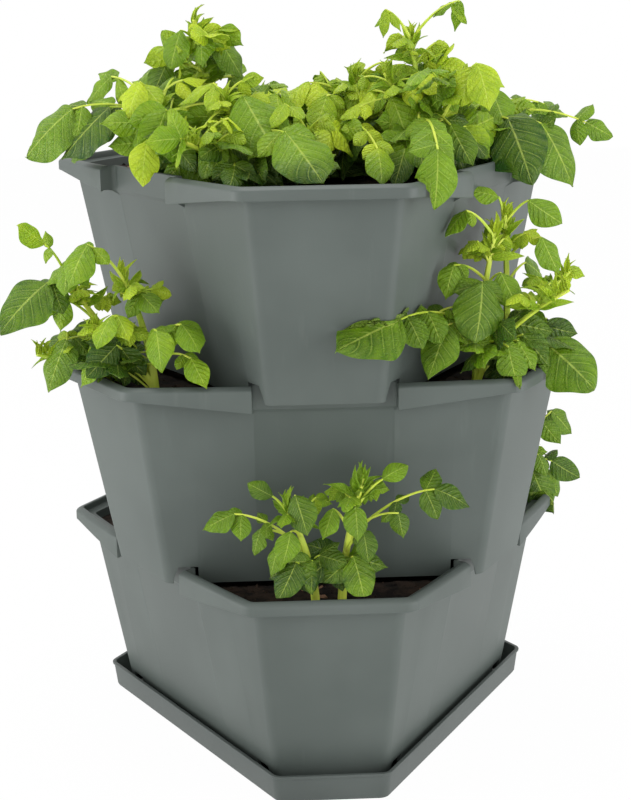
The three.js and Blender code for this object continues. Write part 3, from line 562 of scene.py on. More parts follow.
def merged(points, faces):
    """Points and faces with what lies in one place made one."""
    keys = {}
    index = []
    kept = []
    for point in points:
        key = tuple(round(value / MERGE_DISTANCE) for value in point)
        if key not in keys:
            keys[key] = len(kept)
            kept.append(point)
        index.append(keys[key])
    clean = []
    for face in faces:
        corners = []
        for corner in face:
            if index[corner] not in corners:
                corners.append(index[corner])
        if len(corners) > 2:
            clean.append(tuple(corners))
    return kept, clean


def rim_profile(station):
    """From the inner wall at the floor, over the folded rim and down to the foot."""
    inset = station.inset
    out = RIM_OVERHANG - inset
    top = TUB_HEIGHT - inset
    skirt = TUB_HEIGHT - SKIRT_DEPTH - station.slant * (SKIRT_END_DEPTH - SKIRT_DEPTH) + inset
    lip = TUB_HEIGHT - RIM_FALL - RIM_SHEET
    near = RIM_INSET + inset / 2
    edge = EDGE_ROUND
    hidden = NOTCH_HALF + NOTCH_CHEEK if station.slant else 0
    rim = (
        (RIM_INSET - edge, SHOULDER_TOP),
        (near, SHOULDER_TOP + edge),
        (near, top - edge),
        (near + edge / 3, top - edge / 3),
        (near + edge, top),
        (out - RIM_SLOPE - edge, top),
        (out - RIM_SLOPE + edge, top - RIM_FALL / 4),
        (out - edge, top - RIM_FALL * 3 / 4),
        (out - edge / 3, top - RIM_FALL),
        (out, top - RIM_FALL - edge),
        (out, skirt + edge / 2),
        (out - edge / 2, skirt),
        (out - RIM_SHEET + edge / 2, skirt),
        (out - RIM_SHEET, skirt + edge / 2, hidden),
        (out - RIM_SHEET, lip, hidden),
        (RIM_INSET + RIM_SHEET, lip, hidden),
        (RIM_INSET + RIM_SHEET, SHOULDER_LEVEL, hidden),
    )
    return [
        *(station.at(wall_faces(level, -WALL), level) for level in (FLOOR_TOP, SOIL_LEVEL, SHOULDER_TOP)),
        *(station.at(rim_faces(offset), *place) for offset, *place in rim),
        station.at(wall_faces(SHOULDER_LEVEL, 0), SHOULDER_LEVEL, hidden),
        station.at(wall_faces(SKIRT_END_LEVEL, 0), SKIRT_END_LEVEL),
    ]


def panel_profile(station):
    """From the inner wall at the floor, over the notch's plain panel and down to the foot."""
    edge = EDGE_ROUND
    inner = panel_faces(-WALL)
    outer = panel_faces(station.rise)
    ledge = SKIRT_END_LEVEL - NOTCH_PANEL_LAP
    levels = (RIM_FALL / 4, RIM_FALL * 3 / 4, RIM_FALL, RIM_FALL + edge)
    rows = (
        (wall_faces(FLOOR_TOP, -WALL), FLOOR_TOP),
        (wall_faces(SOIL_LEVEL, -WALL), SOIL_LEVEL),
        (inner, SKIRT_END_LEVEL + WALL),
        (inner, SHOULDER_TOP),
        (inner, SHOULDER_TOP + edge),
        (inner, TUB_HEIGHT - edge),
        (panel_faces(edge / 2 - WALL), TUB_HEIGHT - edge / 3),
        (panel_faces(edge - WALL), TUB_HEIGHT),
        (panel_faces(station.rise - edge), TUB_HEIGHT),
        *((outer, TUB_HEIGHT - level) for level in levels),
        *((outer, SKIRT_END_LEVEL + edge),) * 3,
        *((panel_faces(station.rise - edge / 2), SKIRT_END_LEVEL + edge / 3),) * 3,
        *((panel_faces(station.rise - edge), SKIRT_END_LEVEL),) * 2,
        (wall_faces(ledge, 0), ledge),
    )
    return [station.at(*row) for row in rows]


def foot_profile(station):
    edge = EDGE_ROUND / 3
    foot = station.foot
    under = max(FLOOR_LEVEL, foot + edge)
    rows = ((foot + edge, 0), (foot, -edge), (foot, edge - WALL), (foot + edge, -WALL), (under, -WALL))
    return [station.at(wall_faces(level, offset), level) for level, offset in rows]


def tub_skin(stations):
    profiles = []
    for station in stations:
        top = panel_profile(station) if station.panel else rim_profile(station)
        profiles.append(top + foot_profile(station))
    return merged(*skin(profiles))


def hole_ring(azimuth, distance):
    """Points round one drain hole."""
    x, y = polar(azimuth, distance, 0)
    ring = []
    for step in range(DRAIN_SIDES):
        turn = 2 * math.pi * step / DRAIN_SIDES
        ring.append((x + DRAIN_RADIUS * math.cos(turn), y + DRAIN_RADIUS * math.sin(turn)))
    return ring


def filled(points, edges):
    """Triangles that look up and fill a flat outline, apart from the holes inside it."""
    mesh = bpy.data.meshes.new("plate")
    mesh.from_pydata(points, edges, [])
    shape = bmesh.new()
    shape.from_mesh(mesh)
    bmesh.ops.triangle_fill(shape, edges=shape.edges[:], use_beauty=True)
    shape.verts.index_update()
    triangles = []
    for face in shape.faces:
        triangle = tuple(vertex.index for vertex in face.verts)
        a, b, c = (Vector(points[corner]) for corner in triangle)
        triangles.append(triangle if (b - a).cross(c - a).z > 0 else triangle[::-1])
    shape.free()
    bpy.data.meshes.remove(mesh)
    return triangles


def plate_with_holes(stations, faces_at, low, high, holes):
    """A flat plate inside the outline, with round holes through it."""
    loops = [[station.at(faces_at, low)[:2] for station in stations]]
    loops += [hole_ring(azimuth, distance) for azimuth, distance in holes]
    points, edges = [], []
    for loop in loops:
        start = len(points)
        points.extend((x, y, low) for x, y in loop)
        edges.extend((start + step, start + (step + 1) % len(loop)) for step in range(len(loop)))
    count = len(points)
    faces = []
    for triangle in filled(points, edges):
        faces.append(tuple(corner + count for corner in triangle))
        faces.append(tuple(reversed(triangle)))
    for start, end in edges:
        faces.append((start, end, end + count, start + count))
    points += [(x, y, high) for x, y, _ in points]
    return points, faces


def join_parts(*parts):
    """One list of points and one of faces from several."""
    points, faces = [], []
    for some_points, some_faces in parts:
        start = len(points)
        points.extend(some_points)
        faces.extend(tuple(corner + start for corner in face) for face in some_faces)
    return points, faces


def tier_level(tier):
    return LOWEST_TUB_LEVEL + tier * TIER_PITCH


def tier_sign(tier):
    """-1 for the tub that is turned half a turn."""
    return -1 if tier % 2 else 1


def placed(points, tier):
    """A tub's own points, turned and lifted to its tier."""
    sign = tier_sign(tier)
    level = tier_level(tier)
    return [(sign * x, sign * y, z + level) for x, y, z in points]


def drain_places():
    ring = [(FRONT + SIXTH + turn * THIRD, DRAIN_RING) for turn in range(CORNERS)]
    corners = [(FRONT + turn * THIRD, CORNER_DRAIN_RING) for turn in range(CORNERS)]
    return ring + corners


def make_tubs(material):
    stations = round_outline(tub_side_rows(), tub_corner_rows())
    plate_faces = wall_faces(FLOOR_LEVEL, EDGE_ROUND - WALL)
    floor = plate_with_holes(stations, plate_faces, FLOOR_LEVEL, FLOOR_TOP, drain_places())
    points, faces = join_parts(tub_skin(stations), floor)
    for tier, name in enumerate(TIERS):
        here = placed(points, tier)
        new_piece(f"{name}_tub", "moulding", here, faces, [material], BODIES[tier])


# Materials

# Noises: scale, detail and roughness, or how much they are squeezed along x, y and z
CLOUD = (9.0, 3.0)
GRAIN = (900.0, 2.0)
SOIL_PATCHES = (70.0, 4.0, 0.6)
SOIL_FLECKS = (420.0, 3.0, 0.6)
LEAF_PATCHES = (45.0, 3.0)
LEAF_GRAIN = (700.0, 2.0)
STEM_PATCHES = (30.0, 2.0)
FIBRES = (1.0, 3.0, 0.6)
STREAK_SQUEEZE = (60.0, 60.0, 4.0)
CHIP_SQUEEZE = (900.0, 900.0, 200.0)
STEM_SQUEEZE = (500.0, 500.0, 60.0)

# Bands cut out of the noises
PATCH_BAND = (0.35, 0.7)
STREAK_BAND = (0.62, 0.8)
FLECK_BAND = (0.66, 0.74)
FIBRE_BAND = (0.4, 0.8)

# Roughness, specular level, and the height and strength of a relief
PLASTIC_ROUGHNESS = (0.44, 0.56)
PLASTIC_SPECULAR = 0.4
PLASTIC_RELIEF = (0.00008, 0.5)
SOIL_ROUGHNESS = 0.95
SOIL_SPECULAR = 0.15
SOIL_RELIEF = (0.0008, 0.8)
CHIP_ROUGHNESS = 0.8
CHIP_RELIEF = (0.0003, 0.7)
LEAF_ROUGHNESS = 0.45
LEAF_SPECULAR = 0.28
LEAF_RELIEF = (0.0010, 0.55)
STEM_ROUGHNESS = 0.5
STEM_RELIEF = (0.0003, 0.5)
COMMON_SPECULAR = 0.5
SOFTNESS = 0.2
SOFT_RADIUS = (0.002, 0.003, 0.001)

# Bands on a leaf: between two veins, out from the midrib, over the network and over its tone
VEIN_BAND = (0.10, 0.02)
VEIN_FADE = (1.0, 0.5)
MIDRIB_BAND = (0.055, 0.015)
PILLOW_BAND = (0.0, 0.42)
# Painted shade in the creases beside the veins fades out towards the leaf's edge
CREASE_SHADE_FADE = (1.05, 0.7)
NETWORK_SCALE = 300.0
NETWORK_BAND = (0.16, 0.0)
YOUNG_BAND = (0.0, 0.5)
DEEP_BAND = (0.4, 1.0)
VEIN_SHARE = 0.6
PATCH_SHARE = 0.5
GRAIN_SHARE = 0.3
NETWORK_SHARE = 0.7


class Nodes:
    """Short ways to make and link the nodes of a material or of the world."""

    def __init__(self, owner):
        owner.use_nodes = True
        self.owner = owner
        self.tree = owner.node_tree
        self.shader = self.tree.nodes.get("Principled BSDF")

    def add(self, kind, inputs=None, **settings):
        node = self.tree.nodes.new("ShaderNode" + kind)
        for name, value in settings.items():
            setattr(node, name, value)
        for name, value in (inputs or {}).items():
            self.put(node.inputs[name], value)
        return node

    def put(self, socket, value):
        if isinstance(value, bpy.types.NodeSocket):
            self.tree.links.new(value, socket)
        else:
            socket.default_value = value

    def math(self, operation, first, second=0.0, clamp=False):
        node = self.add("Math", operation=operation, use_clamp=clamp)
        self.put(node.inputs[0], first)
        self.put(node.inputs[1], second)
        return node.outputs[0]

    def times(self, first, second):
        return self.math("MULTIPLY", first, second)

    def mix(self, share, first, second):
        node = self.add("Mix", data_type="RGBA")
        self.put(node.inputs["Factor"], share)
        self.put(node.inputs["A"], first)
        self.put(node.inputs["B"], second)
        return node.outputs["Result"]

    def mix_shaders(self, share, first, second, output):
        node = self.add("MixShader")
        for index, value in enumerate((share, first, second)):
            self.put(node.inputs[index], value)
        self.put(self.tree.nodes[output].inputs["Surface"], node.outputs[0])

    def band(self, value, low, high):
        """0 at low and 1 at high, with a smooth step between them."""
        limits = {"Value": value, "From Min": low, "From Max": high}
        return self.add("MapRange", limits, interpolation_type="SMOOTHSTEP").outputs["Result"]

    def noise(self, scale, detail, roughness=0.5, vector=None):
        node = self.add("TexNoise", {"Scale": scale, "Detail": detail, "Roughness": roughness})
        self.put(node.inputs["Vector"], vector or self.place())
        return node.outputs["Fac"]

    def fibres(self, squeeze):
        """Noise that is drawn out along the axis that is squeezed least."""
        vector = self.add("Mapping", {"Vector": self.place(), "Scale": squeeze}).outputs["Vector"]
        return self.noise(*FIBRES, vector)

    def place(self):
        if not hasattr(self, "coordinates"):
            self.coordinates = self.add("TexCoord").outputs["Object"]
        return self.coordinates

    def surface(self, colour, roughness, specular=COMMON_SPECULAR, softness=0.0):
        looks = {"Base Color": colour, "Roughness": roughness, "Specular IOR Level": specular}
        if softness:
            looks["Subsurface Weight"] = softness
            looks["Subsurface Radius"] = SOFT_RADIUS
            looks["Subsurface Scale"] = 1.0
        for name, value in looks.items():
            self.put(self.shader.inputs[name], value)

    def bump(self, height, distance, strength):
        node = self.add("Bump", {"Height": height, "Distance": distance, "Strength": strength})
        self.put(self.shader.inputs["Normal"], node.outputs["Normal"])


def new_material(name):
    return Nodes(bpy.data.materials.new(name))


def rgb(red, green, blue):
    """A linear colour from display values from 0 to 255."""
    def linear(value):
        share = value / 255
        return share / 12.92 if share <= 0.04045 else ((share + 0.055) / 1.055) ** 2.4
    return linear(red), linear(green), linear(blue), 1.0


def plastic_material(name, colour, pale):
    nodes = new_material(name)
    cloud = nodes.noise(*CLOUD)
    tone = nodes.mix(nodes.band(cloud, *PATCH_BAND), colour, pale)
    marked = nodes.mix(nodes.band(nodes.fibres(STREAK_SQUEEZE), *STREAK_BAND), tone, pale)
    smoothest, roughest = PLASTIC_ROUGHNESS
    rough = nodes.add("MapRange", {"Value": cloud, "To Min": smoothest, "To Max": roughest})
    nodes.surface(marked, rough.outputs["Result"], PLASTIC_SPECULAR)
    nodes.bump(nodes.noise(*GRAIN), *PLASTIC_RELIEF)
    return nodes.owner


def soil_material():
    nodes = new_material("potting_soil")
    fine = nodes.noise(*SOIL_FLECKS)
    dark = nodes.mix(nodes.band(nodes.noise(*SOIL_PATCHES), *PATCH_BAND), rgb(24, 20, 18), rgb(58, 46, 38))
    flecked = nodes.mix(nodes.band(fine, *FLECK_BAND), dark, rgb(96, 74, 56))
    nodes.surface(flecked, SOIL_ROUGHNESS, SOIL_SPECULAR)
    nodes.bump(fine, *SOIL_RELIEF)
    return nodes.owner


def chip_material():
    nodes = new_material("wood_chips")
    fibre = nodes.fibres(CHIP_SQUEEZE)
    nodes.surface(nodes.mix(fibre, rgb(84, 56, 42), rgb(176, 134, 104)), CHIP_ROUGHNESS)
    nodes.bump(fibre, *CHIP_RELIEF)
    return nodes.owner


# Saucer


def saucer_profile(station):
    lip_foot = SAUCER_HEIGHT - SAUCER_LIP_HEIGHT
    edge = SAUCER_LIP_WIDTH / 3
    chamfer = SAUCER_FOOT_CHAMFER
    spots = (
        (0, -chamfer),
        (chamfer / 4, -chamfer / 3),
        (chamfer, 0),
        (lip_foot, 0),
        (lip_foot + edge, SAUCER_LIP_WIDTH - edge),
        (lip_foot + 2 * edge, SAUCER_LIP_WIDTH),
        (SAUCER_HEIGHT - edge, SAUCER_LIP_WIDTH),
        (SAUCER_HEIGHT, SAUCER_LIP_WIDTH - edge),
        (SAUCER_HEIGHT, edge - SAUCER_WALL),
        (SAUCER_HEIGHT - edge, -SAUCER_WALL),
        (SAUCER_FLOOR + chamfer, -SAUCER_WALL),
        (SAUCER_FLOOR + chamfer / 4, -SAUCER_WALL - chamfer / 3),
        (SAUCER_FLOOR, -SAUCER_WALL - chamfer),
    )
    return [station.at(saucer_faces(level, offset), level) for level, offset in spots]


def fan(points, ring, upward):
    """Faces from a ring of points to their middle."""
    middle = tuple(sum(points[index][axis] for index in ring) / len(ring) for axis in range(3))
    points.append(middle)
    faces = []
    for step, index in enumerate(ring):
        after = ring[(step + 1) % len(ring)]
        faces.append((index, after, len(points) - 1) if upward else (after, index, len(points) - 1))
    return faces


def rib(azimuth, reach):
    """One low rib on the saucer's floor, with a softened top."""
    edge = SAUCER_RIB_HALF / 2
    section = (
        (-SAUCER_RIB_HALF, SAUCER_FLOOR / 2),
        (-SAUCER_RIB_HALF, SAUCER_RIB_TOP - edge),
        (-edge, SAUCER_RIB_TOP),
        (edge, SAUCER_RIB_TOP),
        (SAUCER_RIB_HALF, SAUCER_RIB_TOP - edge),
        (SAUCER_RIB_HALF, SAUCER_FLOOR / 2),
    )
    ends = ((SAUCER_RIB_START, edge), (SAUCER_RIB_START + edge, 0), (reach - edge, 0), (reach, edge))
    points = []
    for out, drop in ends:
        for across, level in section:
            points.append((*polar(azimuth, out, across), level - (drop if level > SAUCER_FLOOR else 0)))
    count = len(section)
    faces = []
    for here in range(0, len(points) - count, count):
        after = here + count
        for step in range(count):
            ahead = (step + 1) % count
            faces.append((here + step, after + step, after + ahead, here + ahead))
    faces.append(tuple(range(count)))
    faces.append(tuple(reversed(range(len(points) - count, len(points)))))
    return points, faces


def make_saucer(material):
    stations = plain_outline(saucer_faces(0, 0))
    points, faces = skin([saucer_profile(station) for station in stations])
    count = len(saucer_profile(stations[0]))
    faces = [face[::-1] for face in faces]
    faces += fan(points, [index * count for index in range(len(stations))], False)
    faces += fan(points, [index * count + count - 1 for index in range(len(stations))], True)
    ribs = []
    for index in range(2 * CORNERS):
        reach = SAUCER_RIB_END if index % 2 == 0 else SAUCER_RIB_END * FOOT_LONG_FACE / FOOT_SHORT_FACE
        ribs.append(rib(FRONT + index * SIXTH, reach))
    points, faces = join_parts((points, faces), *ribs)
    new_piece("saucer", "moulding", points, faces, [material], "saucer")


# Soil


def resampled(ring, count):
    """Evenly spaced points round a closed ring."""
    ring = np.array([*ring, ring[0]])
    steps = np.linalg.norm(np.diff(ring, axis=0), axis=1)
    reach = np.concatenate([[0], np.cumsum(steps)])
    wanted = np.linspace(0, reach[-1], count, endpoint=False)
    return np.stack([np.interp(wanted, reach, ring[:, axis]) for axis in range(2)], axis=1)


def outside_by(points, faces):
    """How far points lie outside an outline's six sides, and the direction out of the nearest one."""
    points = np.asarray(points, float)
    best = np.full(len(points), -np.inf)
    normals = np.zeros((len(points), 2))
    long_face, short_face = np.broadcast_to(faces[0], best.shape), np.broadcast_to(faces[1], best.shape)
    half = (2 * short_face - long_face) * TURN_RUN
    for turn in range(CORNERS):
        for azimuth, is_long in ((FRONT + turn * THIRD, False), (FRONT + SIXTH + turn * THIRD, True)):
            normal = np.array([math.cos(azimuth), math.sin(azimuth)])
            out = points @ normal
            along = points @ np.array([-normal[1], normal[0]])
            bow = faces[3] * np.clip(1 - (along / half) ** 2, 0, 1)
            gap = out - (long_face + bow if is_long else short_face)
            nearer = gap > best
            best = np.where(nearer, gap, best)
            normals[nearer] = normal
    return best, normals


def past_foot(x, y):
    """How far a spot on the soil lies outside the foot of the tub above."""
    gap, _ = outside_by([(-x, -y)], wall_faces(0, 2 * SOIL_GAP))
    return gap[0]


def soil_height(x, y, tier):
    """The soil's surface in a tub: heaped where no tub stands on it."""
    heap = HEAP_LEVEL
    if tier + 1 < len(TIERS):
        share = min(1, max(0, past_foot(x, y) / SOIL_SLOPE))
        heap = SOIL_LEVEL + (HEAP_LEVEL - SOIL_LEVEL) * share * (2 - share)
    lumps = 0
    for scale, size in SOIL_LUMPS:
        lumps += size * noise.noise(Vector((x / scale, y / scale, tier * SOIL_LUMP_SHIFT)))
    return heap + lumps - sum(size for _, size in SOIL_LUMPS) / 2


def crumb(middle, size, rng):
    """A small uneven lump."""
    angle = rng.uniform(0, math.pi)
    axis = Vector((rng.random(), rng.random(), rng.random())).normalized()
    turn = Matrix.Rotation(angle, 3, axis)
    corners = ((1, 0, 0), (0, 1, 0), (-1, 0, 0), (0, -1, 0), (0, 0, 1), (0, 0, -1))
    points = []
    for corner in corners:
        points.append(tuple(middle + turn @ (Vector(corner) * size * rng.uniform(*CRUMB_UNEVEN))))
    faces = [(0, 1, 4), (1, 2, 4), (2, 3, 4), (3, 0, 4), (1, 0, 5), (2, 1, 5), (3, 2, 5), (0, 3, 5)]
    return points, faces


def chip(middle, size, rng):
    """A flat sliver of wood."""
    turn = Matrix.Rotation(rng.uniform(0, 2 * math.pi), 3, "Z")
    turn = turn @ Matrix.Rotation(rng.uniform(-CHIP_TILT, CHIP_TILT), 3, "X")
    half = Vector((size, size * rng.uniform(*CHIP_WIDTH), size * CHIP_THICKNESS))
    points = []
    for z in (-1, 1):
        for x, y in CHIP_OUTLINE:
            local = Vector((x * half.x, y * half.y, z * half.z))
            points.append(tuple(middle + turn @ local))
    faces = [(3, 2, 1, 0), (4, 5, 6, 7), (0, 1, 5, 4), (1, 2, 6, 5), (2, 3, 7, 6), (3, 0, 4, 7)]
    return points, faces


def soil_boundary(faces_of):
    ring = [station.at(faces_of, 0)[:2] for station in plain_outline(faces_of)]
    return resampled(ring, SOIL_AROUND)


def soil_body(edge, tier):
    """The heap of soil: rings of points from its middle to its edge, and its side down to the floor."""
    low = soil_boundary(wall_faces(FLOOR_TOP + SEAT_GAP, -WALL - SOIL_GAP))
    points, faces = [(0, 0, soil_height(0, 0, tier))], []
    for ring in range(1, SOIL_RINGS + 1):
        share = (ring / SOIL_RINGS) ** SOIL_RING_POWER
        points.extend((x * share, y * share, soil_height(x * share, y * share, tier)) for x, y in edge)
    points.extend((x, y, FLOOR_TOP + SEAT_GAP) for x, y in low)
    for step in range(SOIL_AROUND):
        ahead = (step + 1) % SOIL_AROUND
        faces.append((0, 1 + step, 1 + ahead))
        for ring in range(SOIL_RINGS):
            inner, outer = 1 + ring * SOIL_AROUND, 1 + (ring + 1) * SOIL_AROUND
            faces.append((inner + step, outer + step, outer + ahead, inner + ahead))
    last = 1 + SOIL_RINGS * SOIL_AROUND
    faces += fan(points, list(range(last, last + SOIL_AROUND)), False)
    return points, faces


def make_soil(tier, soil, chips):
    rng = random.Random(SOIL_SEED + tier)
    edge = soil_boundary(wall_faces(HEAP_LEVEL, -WALL - SOIL_GAP))
    parts = [soil_body(edge, tier)]
    bits = [(crumb, CRUMB_SIZE)] * CRUMB_COUNT + [(chip, CHIP_SIZE)] * CHIP_COUNT
    for make, sizes in bits:
        x, y = edge[rng.randrange(len(edge))] * rng.uniform(*BIT_REACH) ** BIT_SPREAD
        if tier + 1 < len(TIERS) and past_foot(x, y) < SOIL_SLOPE / 2:
            continue
        middle = Vector((x, y, soil_height(x, y, tier)))
        parts.append(make(middle, rng.uniform(*sizes), rng))
    chip_points = 2 * len(CHIP_OUTLINE)
    slots = []
    for some_points, some_faces in parts:
        slots.extend([int(len(some_points) == chip_points)] * len(some_faces))
    points, faces = join_parts(*parts)
    points = placed(points, tier)
    name = f"{TIERS[tier]}_soil"
    new_piece(name, "surface", points, faces, [soil, chips], BODIES[tier], slots)


# Plants


def curve_point(curve, share):
    start, bend, end = curve
    return start * (1 - share) ** 2 + bend * (2 * share * (1 - share)) + end * share**2


def curve_tangent(curve, share):
    start, bend, end = curve
    return ((bend - start) * (1 - share) + (end - bend) * share).normalized()


def graded(grade, share):
    """A value that starts at one number and changes evenly by another."""
    start, change = grade
    return start + change * share


def away(heading, reach, rise):
    return Vector((math.cos(heading) * reach, math.sin(heading) * reach, rise))


def drooping(heading, droop):
    """The direction of a leaflet: droop 0 is level and 1 hangs straight down."""
    pitch = droop * math.pi / 2
    return away(heading, math.cos(pitch), -math.sin(pitch))


def face_over(along, twist):
    """The way a leaflet's face looks: towards the light, turned by its twist."""
    over = (LIGHT_FROM - LIGHT_FROM.dot(along) * along).normalized()
    return Matrix.Rotation(twist, 3, along) @ over


def normals_of(grid, over):
    """Unit normals of a grid of points, on the side that over points to."""
    normal = np.cross(np.gradient(grid, axis=0), np.gradient(grid, axis=1))
    size = np.linalg.norm(normal, axis=2, keepdims=True)
    normal = np.where(size > TINY, normal / np.maximum(size, TINY), over)
    return -normal if np.mean(normal @ over) < 0 else normal


def closed_sheet(rows, columns):
    """Faces of a thin sheet: its upper side, its lower side and the edge that closes it."""
    count = columns + 1
    sheet = (rows + 1) * count
    faces = []
    for row in range(rows):
        for a, b, c, d in strip(row * count, (row + 1) * count, count, False):
            faces.append((a, b, c, d))
            faces.append((a + sheet, d + sheet, c + sheet, b + sheet))
    rim = list(range(count))
    rim += [(row + 1) * count + columns for row in range(rows)]
    rim += [rows * count + columns - 1 - column for column in range(columns)]
    rim += [(rows - 1 - row) * count for row in range(rows - 1)]
    for index, corner in enumerate(rim):
        after = rim[(index + 1) % len(rim)]
        faces.append((after, corner, corner + sheet, after + sheet))
    return faces


class Plant:
    """Collects the stems, stalks and leaflets of one shoot."""

    def __init__(self, seed, tier):
        self.random = random.Random(seed)
        self.tier = tier
        self.points = []
        self.uvs = []
        self.tones = []
        self.unders = []
        self.faces = []
        self.slots = []
        self.owners = []
        self.count = 0

    def put(self, points, faces, uvs, tone, unders, slot):
        self.points.append(points)
        self.uvs.append(uvs)
        self.tones.append(np.full(len(points), tone))
        self.unders.append(unders)
        self.faces.extend(tuple(corner + self.count for corner in face) for face in faces)
        self.slots.extend([slot] * len(faces))
        self.owners.append(np.full(len(points), slot))
        self.count += len(points)

    def stalk(self, curve, start_radius, end_radius, tone, steps=STALK_STEPS):
        """A tapering stem along a curve, rounded at its tip."""
        points, uvs = [], []
        side = Vector((1, 0, 0)) if abs(curve_tangent(curve, 0.5).x) < STEM_SIDEWAYS else Vector((0, 1, 0))
        for step in range(steps + 2):
            share = min(1, step / steps)
            tangent = curve_tangent(curve, share)
            aside = (side - side.dot(tangent) * tangent).normalized()
            over = tangent.cross(aside)
            radius = start_radius + (end_radius - start_radius) * share
            if step > steps:
                radius *= STEM_END_SHARE
            middle = curve_point(curve, share) + tangent * (radius if step > steps else 0)
            for corner in range(STEM_SIDES):
                turn = 2 * math.pi * corner / STEM_SIDES
                reach = radius * (1 + STEM_RIDGE * math.cos(STEM_RIDGES * turn))
                raised = over * reach * STEM_FLATNESS * math.sin(turn)
                points.append(middle + aside * reach * math.cos(turn) + raised)
                uvs.append((corner / STEM_SIDES, share))
        faces = []
        for row in range(steps + 1):
            faces += strip(row * STEM_SIDES, (row + 1) * STEM_SIDES, STEM_SIDES, True)
        faces.append(tuple(range((steps + 1) * STEM_SIDES, (steps + 2) * STEM_SIDES)))
        self.put(np.array(points), faces, np.array(uvs), tone, np.zeros(len(points)), 1)

    def half_width(self, share, side, length, width):
        """Half a leaflet's width along it: a round base, a scalloped edge and a more or less pointed tip."""
        rng = self.random
        widest, point = rng.uniform(*LEAF_WIDEST), rng.uniform(*LEAF_POINT)
        power = math.log(0.5) / math.log(widest)
        outline = np.sin(math.pi * np.clip(share, 0, 1) ** power) ** (LEAF_ROUNDNESS + point * share**2)
        scallops = share * rng.uniform(*LEAF_SCALLOPS) + rng.uniform(*LEAF_SCALLOP_START) + 2 * side
        half = length * width * LEAF_HALF_WIDTH_SHARE * outline
        return np.maximum(half * (1 + LEAF_SCALLOP_SHARE * np.sin(scallops)), STALK_TIP_RADIUS * (1 - share))

    def relief(self, share, side, half, length, fold, curl):
        """A leaflet's height over its plane: it sags, folds, curls and waves, and is quilted by its veins."""
        rng = self.random
        across = np.abs(side)
        phase = LEAF_VEINS * (share - LEAF_VEIN_LEAN * LEAF_HALF_WIDTH_SHARE * across)
        quilt = (0.5 - 0.5 * np.cos(2 * math.pi * phase)) * np.clip(across * LEAF_QUILT_AT_RIB, 0, 1)
        quilt = quilt * (1 - across**LEAF_QUILT_POWER)
        waves = 2 * math.pi * (rng.uniform(*LEAF_WAVES) * share + rng.uniform(0, 1))
        wave = across**LEAF_WAVE_POWER * np.sin(waves + (side > 0) * rng.uniform(*LEAF_WAVE_START))
        return (
            -LEAF_SAG_SHARE * rng.uniform(*LEAF_SAG_JITTER) * (share * length) ** 2 / length
            - fold * half * across**LEAF_FOLD_POWER
            + LEAF_QUILT_SHARE * length * quilt * np.clip(half / (LEAF_QUILT_FULL * length), 0, 1)
            + LEAF_WAVE_SHARE * length * wave
            - curl * length * np.clip(share - 0.5, 0, 1) ** 2
        )

    def leaflet(self, base, along, twist, length, tone, width=1.0, fold=None, curl=0.0):
        """One leaflet, closed all round, with a midrib under it."""
        fine = min(1, length / LEAFLET_LENGTH)
        rows = max(LEAF_LEAST_ROWS, round(LEAF_ROWS * fine))
        columns = 2 * max(LEAF_LEAST_HALF_COLUMNS, round(LEAF_COLUMNS * fine / 2))
        lines = np.linspace(0, 1, rows + 1), np.linspace(-1, 1, columns + 1)
        share, side = np.meshgrid(*lines, indexing="ij")
        side = np.sign(side) * np.abs(side) ** LEAF_CROWDING
        if fold is None:
            fold = LEAF_FOLD_SHARE * self.random.uniform(*LEAF_FOLD_JITTER)
        half = self.half_width(share, side, length, width)
        height = self.relief(share, side, half, length, fold, curl)
        out = side * half + self.jitter(LEAF_BEND) * length * share**2
        over = face_over(along, twist)
        across = over.cross(along)
        base, along, across, over = (np.array(vector) for vector in (base, along, across, over))
        reach = share * length
        grid = base + reach[..., None] * along + out[..., None] * across + height[..., None] * over
        normal = normals_of(grid, over)
        ridge = MIDRIB_HEIGHT * np.exp(-((np.abs(side) / MIDRIB_SHARE) ** 2)) * (1 - share) * fine
        upper = grid + normal * (LEAF_THICKNESS / 2)
        lower = grid - normal * (LEAF_THICKNESS / 2 + ridge)[..., None]
        points = np.concatenate([upper.reshape(-1, 3), lower.reshape(-1, 3)])
        uvs = np.stack([0.5 + 0.5 * side, share], axis=2).reshape(-1, 2)
        unders = np.concatenate([np.zeros(len(uvs)), np.ones(len(uvs))])
        self.put(points, closed_sheet(rows, columns), np.concatenate([uvs, uvs]), tone, unders, 0)

    def leaf(self, start, middle, size, pairs, droop, twist, tone, radius=STALK_RADIUS, width=1.0):
        """A compound leaf: a stalk that arches over, an end leaflet and pairs beside it."""
        heading = math.atan2(middle.y - start.y, middle.x - start.x)
        length = LEAFLET_LENGTH * size
        along = drooping(heading, droop)
        end = middle - along * (length / 2)
        rise = Vector((0, 0, (end - start).length * STALK_ARCH_SHARE))
        curve = (start, start.lerp(end, 0.5) + rise, end)
        self.stalk(curve, radius, min(radius, STALK_TIP_RADIUS), tone)
        self.leaflet(end, along, twist, length, tone, WIDE_LEAF_WIDTH if size > WIDE_LEAF else width)
        small_pairs = max(0, round((end - start).length / PAIR_PITCH) - pairs - 1)
        steps = max(pairs + small_pairs + 1, 2)
        over = face_over(along, twist)
        for pair in range(1, pairs + small_pairs + 1):
            joint = curve_point(curve, 1 - (pair - PAIR_AHEAD) / steps)
            for side in (-1, 1):
                turn = Matrix.Rotation(side * PAIR_SPREAD + self.jitter(PAIR_JITTER), 3, over)
                aside = (turn @ along - UP * PAIR_SAG * self.random.random()).normalized()
                shade = tone + self.jitter(TONE_JITTER)
                share = PAIR_SIZE_SHARE**pair if pair <= pairs else SMALL_PAIR_SHARE
                self.leaflet(joint, aside, -side * twist, length * share, shade, width)

    def jitter(self, reach):
        return self.random.uniform(-reach, reach)

